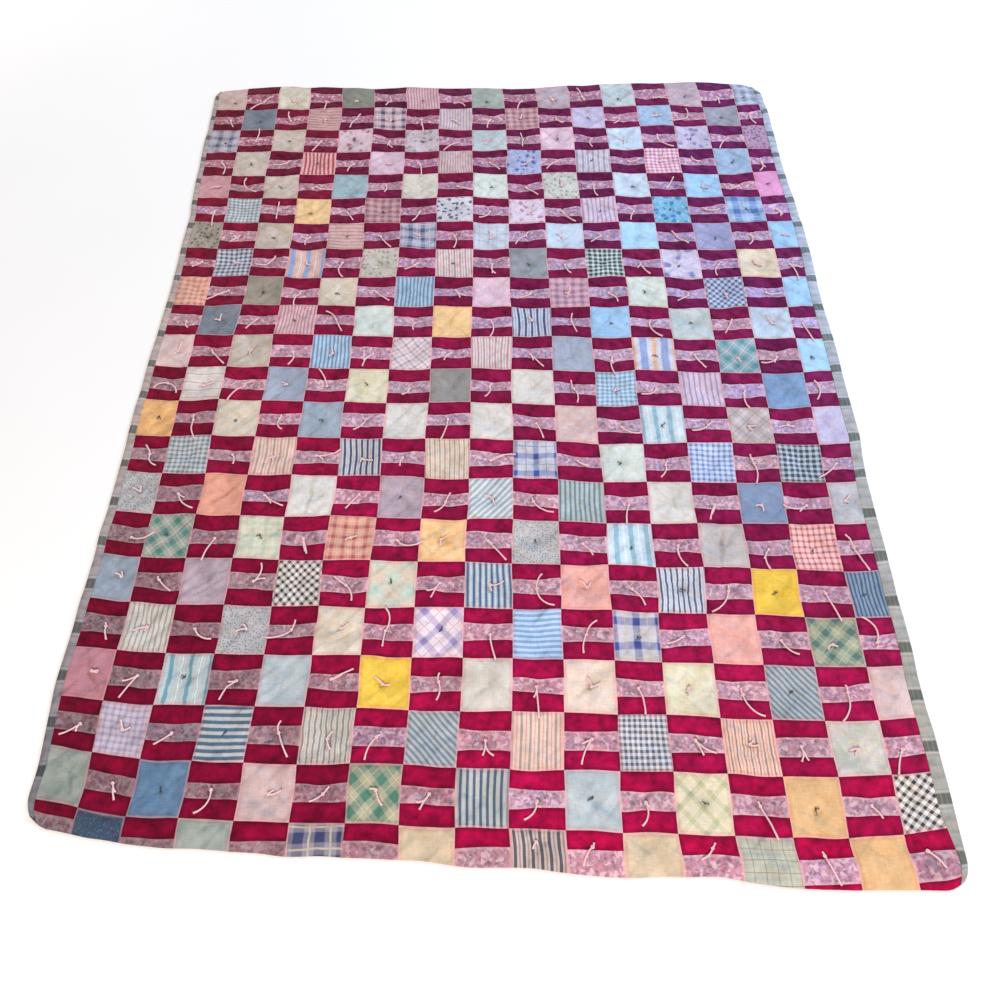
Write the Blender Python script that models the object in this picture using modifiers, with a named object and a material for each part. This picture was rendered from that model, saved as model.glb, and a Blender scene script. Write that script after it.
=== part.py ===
"""A tied patchwork quilt, laid flat: the filled body, and the binding along each long side.

Metres, +Z up. It lies face up on z = 0 with its head towards +Y, and the origin is at the middle
of its underside. Places on it are counted in patchwork blocks: u from the left, v from the head.
"""

import math

import bmesh
import bpy
import numpy as np

# Patchwork
block = 0.1016              # a finished block, 4 inches square
columns = 17
rows = 22                   # the last one is only part of a block
left_cut = 0.003            # trimmed off the first column, at the quilt's left edge
right_cut = 0.013           # trimmed off the last column, at its right edge
foot_row = 0.066            # how much shows of the last row, halfway along the foot
foot_slant = 0.026          # the foot is this much longer at its right end, and shorter at its left

# How unevenly it was cut and lies
head_lean = -0.012          # sideways, at the head
side_bow = -0.016           # both ends sit this far left of the middle
side_spread = 0.010         # the outer columns sit this far right of the middle ones
keystone = 0.017            # the right side is longer than the left by twice this at each end
row_tilt = -0.007           # the middle rows fall this much towards the right
middle_rise = 0.010         # the middle rows sit this far towards the head
head_drop = 0.010           # the head sits this far towards the foot
head_cut = 0.002            # trimmed off the first row
head_wave = 0.008           # height of the waves along the head
head_wave_length = 1.12
corner_radius = {("left", "head"): 0.040, ("right", "head"): 0.055,
                 ("left", "foot"): 0.110, ("right", "foot"): 0.085}

# Thickness
tie_height = 0.0034         # pressed down at each tie
seam_height = 0.0074        # along the seams, halfway between two ties
corner_rise = 0.0014        # more than that where four blocks meet
head_edge_height = 0.0034   # the turned-in edges at head and foot
head_strip_height = 0.0052  # a strip's width in from them
side_edge_height = 0.0042   # under the bindings
edge_slope = 0.045          # how far in from an edge strip the full loft is reached
edge_bulge = 0.0012         # how far the middle of the edge stands out
loft_wave = 0.0006          # slow rise and fall of the filling
loft_turns = ((1.3, 0.4), (-0.5, 0.9))   # how fast its two waves turn, per column and per row
edge_strip = 0.024          # the strip along each edge that the loft leaves flat

# Bindings
binding_cloth = 0.0010      # two layers of cotton, pressed
binding_reach = 0.022       # how far it comes in over the face, and under the back
gap = 0.0003                # between pieces that touch
floor_gap = 0.00015         # what the binding is held off the floor by the back
hair = 0.0001               # allowed when a place is compared with an edge strip's inner line

half_width = columns * block / 2
middle_row = 10.8           # the row line that lies at the quilt's middle
half_length = middle_row * block
left_edge = left_cut / block
right_edge = columns - right_cut / block
strip = edge_strip / block
back_lift = floor_gap + binding_cloth + gap    # the body's back clears the binding under it


def clear_scene():
    for obj in list(bpy.data.objects):
        bpy.data.objects.remove(obj, do_unlink=True)


def new_collection(name):
    collection = bpy.data.collections.new(name)
    bpy.context.scene.collection.children.link(collection)
    return collection


def cotton(name, colour, roughness):
    material = bpy.data.materials.new(name)
    material.use_nodes = True
    shader = material.node_tree.nodes["Principled BSDF"]
    shader.inputs["Base Color"].default_value = (*colour, 1.0)
    shader.inputs["Roughness"].default_value = roughness
    shader.inputs["Metallic"].default_value = 0.0
    return material


def add_object(name, bm, material, collection):
    mesh = bpy.data.meshes.new(name)
    bm.to_mesh(mesh)
    bm.free()
    mesh.shade_smooth()
    obj = bpy.data.objects.new(name, mesh)
    obj.data.materials.append(material)
    collection.objects.link(obj)
    return obj


def head_line(u):
    """The row line of the head edge, u blocks from the left."""
    wave = head_wave * math.sin(2 * math.pi * u * block / head_wave_length)
    return (head_cut - wave) / block


def foot_line(u):
    """The row line of the foot edge, u blocks from the left."""
    across = (u - columns / 2) / (columns / 2)
    return rows - 1 + (foot_row + foot_slant * across) / block


def rounded(to_side, to_end, radius):
    """How far a point near a square corner moves in from the side and from the end to round it."""
    if to_side >= radius or to_end >= radius:
        return 0.0, 0.0
    a = 1 - to_side / radius
    b = 1 - to_end / radius
    return (radius * a * (1 - math.sqrt(1 - b * b / 2)),
            radius * b * (1 - math.sqrt(1 - a * a / 2)))


def lie(u, v):
    """Where the point u blocks from the left and v blocks from the head lies on the floor."""
    x = u * block - half_width
    y = half_length - v * block
    for (side, end), radius in corner_radius.items():
        to_side = (u - left_edge if side == "left" else right_edge - u) * block
        to_end = (v - head_line(u) if end == "head" else foot_line(u) - v) * block
        inwards, along = rounded(to_side, to_end, radius)
        x += inwards if side == "left" else -inwards
        y += -along if end == "head" else along
    across = x / half_width
    up = y / half_length
    x += head_lean * up + side_bow * up ** 2 + side_spread * across ** 2
    y += keystone * across * up + (middle_rise + row_tilt * across) * (1 - up ** 2)
    y -= head_drop * (1 + up) / 2
    return x, y


def column_lines():
    """The seams across the quilt, with the edge strips' inner lines in place of the two edges."""
    return [left_edge + strip, *range(1, columns), right_edge - strip]


def row_lines(u):
    return [head_line(u) + strip, *range(1, rows), foot_line(u) - strip]


def share_of_block(place, lines):
    """How far across its block a place is, from 0 to 1."""
    k = min(max(int(np.searchsorted(lines, place, side="right")) - 1, 0), len(lines) - 2)
    return min(max((place - lines[k]) / (lines[k + 1] - lines[k]), 0.0), 1.0)


def is_near_side(u):
    """True on the strips that the bindings cover, with their inner lines."""
    return min(u - left_edge, right_edge - u) * block < edge_strip + hair


def face_height(u, v):
    """The height of the patchwork: low at the ties, full at the seams, thin at the edges."""
    to_side = min(u - left_edge, right_edge - u) * block
    to_end = min(v - head_line(u), foot_line(u) - v) * block
    end_height = head_edge_height
    end_height += (head_strip_height - head_edge_height) * min(to_end / edge_strip, 1.0)
    if is_near_side(u):
        return min(side_edge_height, end_height)
    if to_end < edge_strip + hair:
        return end_height
    off_column = abs(2 * share_of_block(u, column_lines()) - 1)
    off_row = abs(2 * share_of_block(v, row_lines(u)) - 1)
    puff = 1 - (1 - off_column) * (1 - off_row)
    full = tie_height + (seam_height - tie_height) * puff + corner_rise * off_column * off_row
    waves = [math.sin(by_column * u + by_row * v) for by_column, by_row in loft_turns]
    full += loft_wave * waves[0] * waves[1] * puff
    side_rise = min((to_side - edge_strip) / edge_slope, 1.0)
    end_rise = min((to_end - edge_strip) / edge_slope, 1.0)
    height = side_edge_height + (full - side_edge_height) * side_rise
    return head_strip_height + (height - head_strip_height) * end_rise


def add_block_grid(bm):
    """A grid over the whole quilt, laid out in blocks as (u, -v, 0). Returns its vertices."""
    columns_in_all = columns + 2
    rows_in_all = rows + 2
    made = bmesh.ops.create_grid(bm, x_segments=columns_in_all, y_segments=rows_in_all, size=0.5)
    u_lines = [left_edge, *column_lines(), right_edge]
    for vert in made["verts"]:
        u = u_lines[round((vert.co.x + 0.5) * columns_in_all)]
        v_lines = [head_line(u), *row_lines(u), foot_line(u)]
        v = v_lines[round((0.5 - vert.co.y) * rows_in_all)]
        vert.co = (u, -v, 0.0)
    return made["verts"]


def is_block(face):
    """True for a block of patchwork, and False for a piece of the strips round the edge."""
    middle = face.calc_center_median()
    u = middle.x
    v = -middle.y
    inside_sides = left_edge + strip < u < right_edge - strip
    return inside_sides and head_line(u) + strip < v < foot_line(u) - strip


def add_face(bm):
    """The upper side: each block is poked at its tie, and cut once more between tie and seams."""
    add_block_grid(bm)
    blocks = [face for face in bm.faces if is_block(face)]
    poked = bmesh.ops.poke(bm, faces=blocks)
    edges = list({edge for face in poked["faces"] for edge in face.edges})
    bmesh.ops.subdivide_edges(bm, edges=edges, cuts=1)
    for vert in bm.verts:
        u = vert.co.x
        v = -vert.co.y
        x, y = lie(u, v)
        vert.co = (x, y, face_height(u, v))


def add_back(bm):
    """The flat underside, lifted a little where the bindings pass below it."""
    verts = add_block_grid(bm)
    faces = list({face for vert in verts for face in vert.link_faces})
    bmesh.ops.reverse_faces(bm, faces=faces)
    for vert in verts:
        u = vert.co.x
        x, y = lie(u, -vert.co.y)
        vert.co = (x, y, back_lift if is_near_side(u) else 0.0)


def close_edge(bm):
    """Joins the two sides round the edge, and rounds the edge outwards."""
    rim = [edge for edge in bm.edges if edge.is_boundary]
    joined = bmesh.ops.bridge_loops(bm, edges=rim)
    upright = [edge for edge in joined["edges"] if not edge.is_boundary]
    cut = bmesh.ops.subdivide_edges(bm, edges=upright, cuts=1)
    middle = [item for item in cut["geom_inner"] if isinstance(item, bmesh.types.BMVert)]
    bmesh.ops.recalc_face_normals(bm, faces=bm.faces)
    bm.normal_update()
    for vert in middle:
        outwards = vert.normal.copy()
        outwards.z = 0.0
        vert.co += outwards.normalized() * edge_bulge


def quilt_body(collection):
    """The patchwork, its filling and its backing: one thin filled solid."""
    bm = bmesh.new()
    add_face(bm)
    add_back(bm)
    close_edge(bm)
    patchwork = cotton("patchwork_cotton", (0.42, 0.10, 0.16), 0.92)
    return add_object("quilt_body", bm, patchwork, collection)


def side_direction(u, v, outwards):
    """The level direction straight out from the side edge at row line v."""
    step = 0.05    # of a block
    x0, y0 = lie(u, max(v - step, head_line(u)))
    x1, y1 = lie(u, min(v + step, foot_line(u)))
    length = math.hypot(x1 - x0, y1 - y0)
    return outwards * (y0 - y1) / length, outwards * (x1 - x0) / length


def binding(name, edge, outwards, collection):
    """A strip of cloth folded round the side edge: an open fold, given its thickness outwards."""
    middle_height = (side_edge_height + back_lift) / 2
    bend = edge_bulge + gap * 1.5    # measured level, so more than the gap across the slope
    over = side_edge_height + gap
    under = floor_gap + binding_cloth
    # distance in from the edge, height
    fold = [(binding_reach, over), (-gap, over), (-bend, middle_height), (-gap, under),
            (binding_reach, under)]
    v_lines = [head_line(edge), *row_lines(edge), foot_line(edge)]
    bm = bmesh.new()
    made = bmesh.ops.create_grid(
        bm, x_segments=len(fold) - 1, y_segments=len(v_lines) - 1, size=0.5)
    for vert in made["verts"]:
        inwards, height = fold[round((vert.co.x + 0.5) * (len(fold) - 1))]
        v = v_lines[round((0.5 - vert.co.y) * (len(v_lines) - 1))]
        if inwards > 0:
            x, y = lie(edge - outwards * inwards / block, v)
        else:
            x, y = lie(edge, v)
            out_x, out_y = side_direction(edge, v, outwards)
            x -= out_x * inwards
            y -= out_y * inwards
        vert.co = (x, y, height)
    if outwards < 0:
        bmesh.ops.reverse_faces(bm, faces=bm.faces)
    obj = add_object(name, bm, cotton(name + "_cotton", (0.55, 0.56, 0.56), 0.9), collection)
    thicken = obj.modifiers.new("Cloth", "SOLIDIFY")
    thicken.thickness = binding_cloth
    thicken.offset = 1.0
    thicken.use_even_offset = True
    return obj


def settle(objects):
    """Moves the quilt so that the middle of its box on the floor is at the origin."""
    graph = bpy.context.evaluated_depsgraph_get()
    points = []
    for obj in objects:
        evaluated = obj.evaluated_get(graph)
        points.extend(tuple(corner) for corner in evaluated.bound_box)
    low = np.min(points, axis=0)
    high = np.max(points, axis=0)
    for obj in objects:
        obj.location = (-(low[0] + high[0]) / 2, -(low[1] + high[1]) / 2, 0.0)


clear_scene()
quilt = new_collection("patchwork_quilt")
body = quilt_body(quilt)
left_binding = binding("binding_left", left_edge, -1, quilt)
right_binding = binding("binding_right", right_edge, 1, quilt)
settle([body, left_binding, right_binding])
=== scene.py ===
import math

import bpy
import numpy as np
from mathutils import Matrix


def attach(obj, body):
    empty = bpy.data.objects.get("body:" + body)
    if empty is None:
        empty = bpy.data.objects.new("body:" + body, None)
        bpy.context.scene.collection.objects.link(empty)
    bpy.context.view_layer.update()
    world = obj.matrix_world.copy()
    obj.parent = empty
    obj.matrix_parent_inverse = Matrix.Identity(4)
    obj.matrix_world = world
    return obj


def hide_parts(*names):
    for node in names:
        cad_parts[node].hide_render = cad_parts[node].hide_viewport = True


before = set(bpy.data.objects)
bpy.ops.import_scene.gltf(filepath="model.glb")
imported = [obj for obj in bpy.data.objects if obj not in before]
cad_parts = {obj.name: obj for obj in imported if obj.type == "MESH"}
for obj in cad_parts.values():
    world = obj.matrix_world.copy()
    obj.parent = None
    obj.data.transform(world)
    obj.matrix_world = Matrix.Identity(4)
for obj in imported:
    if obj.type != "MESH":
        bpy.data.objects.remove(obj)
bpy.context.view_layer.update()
print("model loaded:", ", ".join(sorted(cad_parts)))


# Small tools

def tone(hexColour):  # sRGB hex to linear, as the shaders want it
    parts = [int(hexColour[i:i + 2], 16) / 255 for i in (1, 3, 5)]
    linear = [p / 12.92 if p <= 0.04045 else ((p + 0.055) / 1.055) ** 2.4 for p in parts]
    return (*linear, 1.0)


# sockets is a dictionary by name, or a list in the sockets' own order.
def addNode(tree, kind, sockets=(), **settings):
    node = tree.nodes.new("ShaderNode" + kind)
    for name, value in settings.items():
        setattr(node, name, value)
    for socket, value in sockets.items() if isinstance(sockets, dict) else enumerate(sockets):
        if isinstance(value, bpy.types.Node):
            value = value.outputs[0]
        if isinstance(value, bpy.types.NodeSocket):
            tree.links.new(value, node.inputs[socket])
        else:
            node.inputs[socket].default_value = value
    return node


def newMaterial(name):
    material = bpy.data.materials.new(name)
    material.use_nodes = True
    material.node_tree.nodes.clear()
    return material, material.node_tree


def smooth(value):
    value = np.clip(value, 0.0, 1.0)
    return value * value * (3 - 2 * value)


def ripple(x, y, size, seed):  # soft random waves between -1 and 1, about two sizes long
    table = np.random.default_rng(seed).uniform(-1, 1, (97, 97))
    x = np.asarray(x) / size + 31.7
    y = np.asarray(y) / size + 47.3
    i = np.floor(x).astype(int)
    j = np.floor(y).astype(int)
    a = smooth(x - i)
    b = smooth(y - j)
    near = table[j % 97, i % 97] * (1 - a) + table[j % 97, (i + 1) % 97] * a
    far = table[(j + 1) % 97, i % 97] * (1 - a) + table[(j + 1) % 97, (i + 1) % 97] * a
    return near * (1 - b) + far * b


# corners is one row of four point numbers a face; repeated numbers are left out.
def buildMesh(name, points, corners, material, attributes=None):
    keep = corners != np.roll(corners, 1, axis=1)
    whole = keep.sum(1) >= 3
    corners = corners[whole]
    keep = keep[whole]
    used, flat = np.unique(corners[keep], return_inverse=True)
    counts = keep.sum(1)
    mesh = bpy.data.meshes.new(name)
    mesh.vertices.add(len(used))
    mesh.vertices.foreach_set("co", points[used].astype(np.float32).ravel())
    mesh.loops.add(len(flat))
    mesh.loops.foreach_set("vertex_index", flat.astype(np.int32).ravel())
    mesh.polygons.add(len(counts))
    starts = np.concatenate([[0], np.cumsum(counts)[:-1]])
    mesh.polygons.foreach_set("loop_start", starts.astype(np.int32))
    mesh.update(calc_edges=True)
    mesh.validate()
    mesh.shade_smooth()
    for key, values in (attributes or {}).items():
        width = values.shape[1]
        kind = {3: "FLOAT_VECTOR", 4: "FLOAT_COLOR"}[width]
        layer = mesh.attributes.new(key, kind, "POINT")
        field = {3: "vector", 4: "color"}[width]
        layer.data.foreach_set(field, values[used].astype(np.float32).ravel())
    obj = bpy.data.objects.new(name, mesh)
    mesh.materials.append(material)
    bpy.context.scene.collection.objects.link(obj)
    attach(obj, "root")
    return obj


# Faces of a grid of points numbered along each line. closed joins the last of a line to its first.
def gridCorners(lines, across, closed=False):
    j, i = np.meshgrid(np.arange(lines - 1), np.arange(across if closed else across - 1), indexing="ij")
    following = (i + 1) % across
    faces = [j * across + i, (j + 1) * across + i, (j + 1) * across + following, j * across + following]
    return np.stack([face.ravel() for face in faces], 1)


# How the quilt was cut and how it lies. Lengths are in metres, and in blocks where a note says so.

quilt = {
    "block": 0.1016,  # 4 inches, finished
    "columns": 17,
    "rows": 22,
    "leftCut": 0.003,  # trimmed off the outer columns
    "rightCut": 0.013,
    "footRow": 0.066,  # what is left of the last row, and how much more or less at its ends
    "footSlant": 0.026,
    "headLean": -0.012,  # how much further right the head lies than the middle
    "sideBow": -0.016,  # and how much both ends do
    "sideSpread": 0.010,
    "keystone": 0.017,  # how far the right corners lie out, and the left ones in
    "middleRise": 0.010,  # how far the middle rows lie towards the head, and how much further on the right
    "rowTilt": -0.007,
    "headDrop": 0.010,  # how far the head has slipped down
    "headCut": 0.002,  # trimmed off the first row, and how wavily
    "headWave": 0.008,
    "headWaveLength": 1.12,
    "headDip": (0.07, 1.3),  # the head edge drops away at its left corner: how far, over how many blocks
    "headDipRight": (0.11, 1.6),
    "middleRow": 10.8,
    "corners": {  # radius
        ("left", "head"): 0.030,
        ("right", "head"): 0.055,
        ("left", "foot"): 0.050,
        ("right", "foot"): 0.045,
    },
    "shift": (0.006626, 0.018147),  # from the middle of the rows to the middle of the outline
    "seamWander": ((0.0030, 0.150), (0.0019, 0.055)),  # how far seams stray, and over what distance
    "headWander": 1.3,  # how much more they stray up and down at the head
    "creepDown": 0.0100,  # how far the rows have crept from where the edges hold them
    "creepHeadDown": 0.0048,
    "creepIn": 0.0075,
    "creepHeadRight": 0.0029,
    "creepReach": 0.085,
    # how far the foot's corners are drawn in and up, over how many blocks
    "drawn": {"left": (0.012, 0.020, 2.6), "right": (-0.004, 0.018, 2.4)},
    # a side's bow in or out: which side, how far, round which row and over how many
    "bows": ((1, -0.0105, 16.4, 3.7), (-1, 0.0085, 7.2, 2.4)),
    "bowStart": 0.3,  # bows begin this far out from the middle column
    # where the foot edge is drawn up: at which column, how far and over how much, in blocks
    "footDips": ((12.4, 0.10, 0.9), (7.5, 0.06, 0.6)),
    "tiePull": (0.0, 0.26),  # how much of the way the cloth is gathered in towards its tie
    "tiePullFoot": 0.4,  # the share of that left at the foot
    "gatherEase": 0.35,
    "plainLeft": 0.25,  # no seam is seen this near the bindings, in blocks
    "plainRight": 0.3,
    "askew": 2,  # how far off the thread a scrap may be cut, in degrees
}
block = quilt["block"]
columns = quilt["columns"]
rows = quilt["rows"]
halfWidth = columns * block / 2
halfLength = quilt["middleRow"] * block
leftEdge = quilt["leftCut"] / block
rightEdge = columns - quilt["rightCut"] / block


def headLine(u):
    wave = quilt["headWave"] * np.sin(2 * np.pi * u * block / quilt["headWaveLength"])
    dip, reach = quilt["headDip"]
    rightDip, rightReach = quilt["headDipRight"]
    dips = dip * smooth(1 - u / reach) + rightDip * smooth(1 - (columns - u) / rightReach)
    return (quilt["headCut"] - wave) / block + dips


def footLine(u):
    across = (u - columns / 2) / (columns / 2)
    dips = sum(dip * np.exp(-((u - middle) / reach) ** 2) for middle, dip, reach in quilt["footDips"])
    return rows - 1 + (quilt["footRow"] + quilt["footSlant"] * across) / block - dips


# Where the place u blocks from the left and v blocks from the head lies on the floor.
def lie(u, v):
    x = u * block - halfWidth
    y = halfLength - v * block
    for (side, end), radius in quilt["corners"].items():
        toSide = (u - leftEdge if side == "left" else rightEdge - u) * block
        toEnd = (v - headLine(u) if end == "head" else footLine(u) - v) * block
        a = np.clip(1 - toSide / radius, 0, 1)
        b = np.clip(1 - toEnd / radius, 0, 1)
        inwards = radius * a * (1 - np.sqrt(1 - b * b / 2))
        along = radius * b * (1 - np.sqrt(1 - a * a / 2))
        x = x + (inwards if side == "left" else -inwards)
        y = y + (-along if end == "head" else along)
    across = x / halfWidth
    up = y / halfLength
    x = x + quilt["headLean"] * up + quilt["sideBow"] * up ** 2 + quilt["sideSpread"] * across ** 2
    y = y + quilt["keystone"] * across * up
    y = y + (quilt["middleRise"] + quilt["rowTilt"] * across) * (1 - up ** 2)
    y = y - quilt["headDrop"] * (1 + up) / 2
    # inside its edges the patchwork has crept a little, towards the foot and the middle
    inside = smooth(np.minimum(u - leftEdge, rightEdge - u) * block / quilt["creepReach"])
    inside = inside * smooth(np.minimum(v - headLine(u), footLine(u) - v) * block / quilt["creepReach"])
    y = y - (quilt["creepDown"] + quilt["creepHeadDown"] * up) * inside
    x = x - (quilt["creepIn"] * across * (1 - up / 2) - quilt["creepHeadRight"] * up) * inside
    for side, lean, middle, reach in quilt["bows"]:
        outer = np.clip((side * across - quilt["bowStart"]) / (1 - quilt["bowStart"]), 0, 1)
        x = x + lean * outer * np.exp(-((v - middle) / reach) ** 4)
    for side, (alongX, alongY, reach) in quilt["drawn"].items():
        drawn = smooth(1 - np.hypot(u if side == "left" else columns - u, rows - 1 - v) / reach)
        x = x + alongX * drawn
        y = y + alongY * drawn
    right, down, column, row = fromTie(u, v)
    gather = (1 - right ** 2) * (1 - down ** 2) * tiePull[row, column] * block / 2
    gather = gather * (1 - quilt["gatherEase"] * np.minimum(np.abs(right), 1))
    x = x - gather * right
    y = y + gather * down
    headward = 1 + quilt["headWander"] * (1 - v / rows)
    for turn, (reach, size) in enumerate(quilt["seamWander"]):
        x = x + reach * ripple(u * block, v * block, size, seed=11 + turn)
        y = y + reach * headward * ripple(u * block, v * block, size, seed=21 + turn)
    return x + quilt["shift"][0], y + quilt["shift"][1]


# The lie of the filling: low at the ties, full between them

loft = {
    "tie": 0.0042,
    "full": 0.0114,
    "corner": 0.0012,  # more than that where four blocks meet
    "tieReach": 0.024,  # how fast it rises away from a tie
    "tieBlunt": 0.002,
    "side": 0.0042,  # under the bindings
    "sideRise": (0.001, 0.020),  # and how much more just inside them, over what distance
    "bindingWidth": 0.021,
    "edge": 0.0034,  # at the turned-in head and foot
    "edgeStrip": 0.0052,
    "edgeTurn": 0.004,
    "stripWidth": 0.024,
    "slope": 0.042,
    "seam": 0.0010,  # depth of a seam between blocks
    "barSeam": 0.0007,
    "seamWidth": 0.0024,
    "shoulder": (0.0004, 0.006, 0.0035),  # beside a seam: how high, how far out, how wide
    "seamPucker": (0.0005, 0.0075, 0.007),  # how high, how long, how far out they reach
    "tieStray": 0.11,  # how far a tie may be from the middle of its block, in half blocks
    "pucker": 0.0007,  # the gathers round a tie, which are highest so far out
    "puckerReach": 0.010,
    "puckerMore": (3, 0.6),  # a second set of gathers has this many more, of this share of the height
    "crease": 0.0024,
    "creaseClear": 0.016,  # creases fade out this near a seam
    # waves that make them: how wide, how drawn out, seed. The first two break each other up
    "creaseWaves": ((0.011, 1.0, 41), (0.014, 0.25, 42), (0.008, 0.2, 43)),
    "swell": 0.0024,
    "swellAtTie": 0.3,  # the share of it that is left at a tie
    "swellSizes": ((0.16, 1.0, 44), (0.07, 0.7, 45)),  # how long, what share, seed
    "least": 0.0019,  # never nearer the backing than this
    "leastSoft": 0.0006,
}
chance = np.random.default_rng(5)
tieOffset = chance.uniform(-1, 1, (2, rows, columns)) * loft["tieStray"]
tieFolds = chance.integers(4, 8, (rows, columns))
tieTurn = chance.uniform(0, 2 * np.pi, (2, rows, columns))
tiePull = chance.uniform(*quilt["tiePull"], (rows, columns))
tiePull *= np.linspace(1.0, quilt["tiePullFoot"], rows)[:, None]
creaseTurn = chance.uniform(0, np.pi, (rows, columns))
creaseDepth = chance.uniform(0.3, 1.3, (rows, columns))

# The deepest creases, each placed where it lies: from column and row, to column and row, depth
creases = (
    (2.15, 8.80, 3.00, 8.15, 0.0034),
    (2.05, 10.85, 2.85, 10.10, 0.0037),
    (0.35, 12.80, 0.95, 12.15, 0.0037),
    (2.10, 14.80, 2.90, 14.15, 0.0040),
    (4.45, 14.05, 4.35, 15.05, 0.0037),
    (7.05, 15.75, 7.97, 15.10, 0.0040),
    (7.25, 15.97, 8.35, 15.35, 0.0034),
    (13.60, 14.90, 12.90, 17.40, 0.0034),
    (13.55, 15.05, 13.30, 15.95, 0.0040),
    (10.10, 16.80, 10.90, 16.15, 0.0043),
    (2.20, 16.92, 2.95, 16.35, 0.0047),
    (5.05, 17.85, 5.97, 17.42, 0.0053),
    (0.30, 15.60, 0.22, 18.60, 0.0031),
    (0.35, 18.05, 0.85, 18.95, 0.0047),
    (6.05, 18.35, 6.60, 18.00, 0.0037),
    (10.05, 18.85, 10.60, 18.40, 0.0037),
    (1.35, 19.05, 1.12, 19.95, 0.0040),
    (0.50, 20.10, 0.75, 20.90, 0.0040),
)
creaseLook = {
    "width": 0.0048,
    # the ridge pushed up beside it: what share of its depth, how many widths out, how many wide
    "ridge": (0.35, 2.0, 1.2),
    "stray": (0.005, 0.035),  # how far it wanders from a straight line, and over what distance
    "taper": 5,  # one part in this many of its length, at each end
}


# Distances right and down from the tie, from -1 to 1 within the block, with its column and row.
def fromTie(u, v):
    column = np.clip(np.floor(u), 0, columns - 1).astype(int)
    row = np.clip(np.floor(v), 0, rows - 1).astype(int)
    strip = loft["stripWidth"] / block
    low = np.where(column == 0, leftEdge + strip, column)
    high = np.where(column == columns - 1, rightEdge - strip, column + 1)
    right = 2 * np.clip((u - low) / (high - low), 0, 1) - 1
    low = np.where(row == 0, headLine(u) + strip, row)
    high = np.where(row == rows - 1, footLine(u) - strip, row + 1)
    down = 2 * np.clip((v - low) / np.maximum(high - low, 0.1), 0, 1) - 1
    right = right - tieOffset[0, row, column] * (1 - np.abs(right))
    down = down - tieOffset[1, row, column] * (1 - np.abs(down))
    return right, down, column, row


# u and v of a block's tie.
def tiePlace(column, row):
    strip = loft["stripWidth"] / block
    low = leftEdge + strip if column == 0 else column
    high = rightEdge - strip if column == columns - 1 else column + 1
    stray = tieOffset[0, row, column]
    u = low + (high - low) * (0.5 + stray / (2 * (1 + abs(stray))))
    low = headLine(u) + strip if row == 0 else row
    high = footLine(u) - strip if row == rows - 1 else row + 1
    stray = tieOffset[1, row, column]
    v = low + (high - low) * (0.5 + stray / (2 * (1 + abs(stray))))
    return u, v


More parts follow.
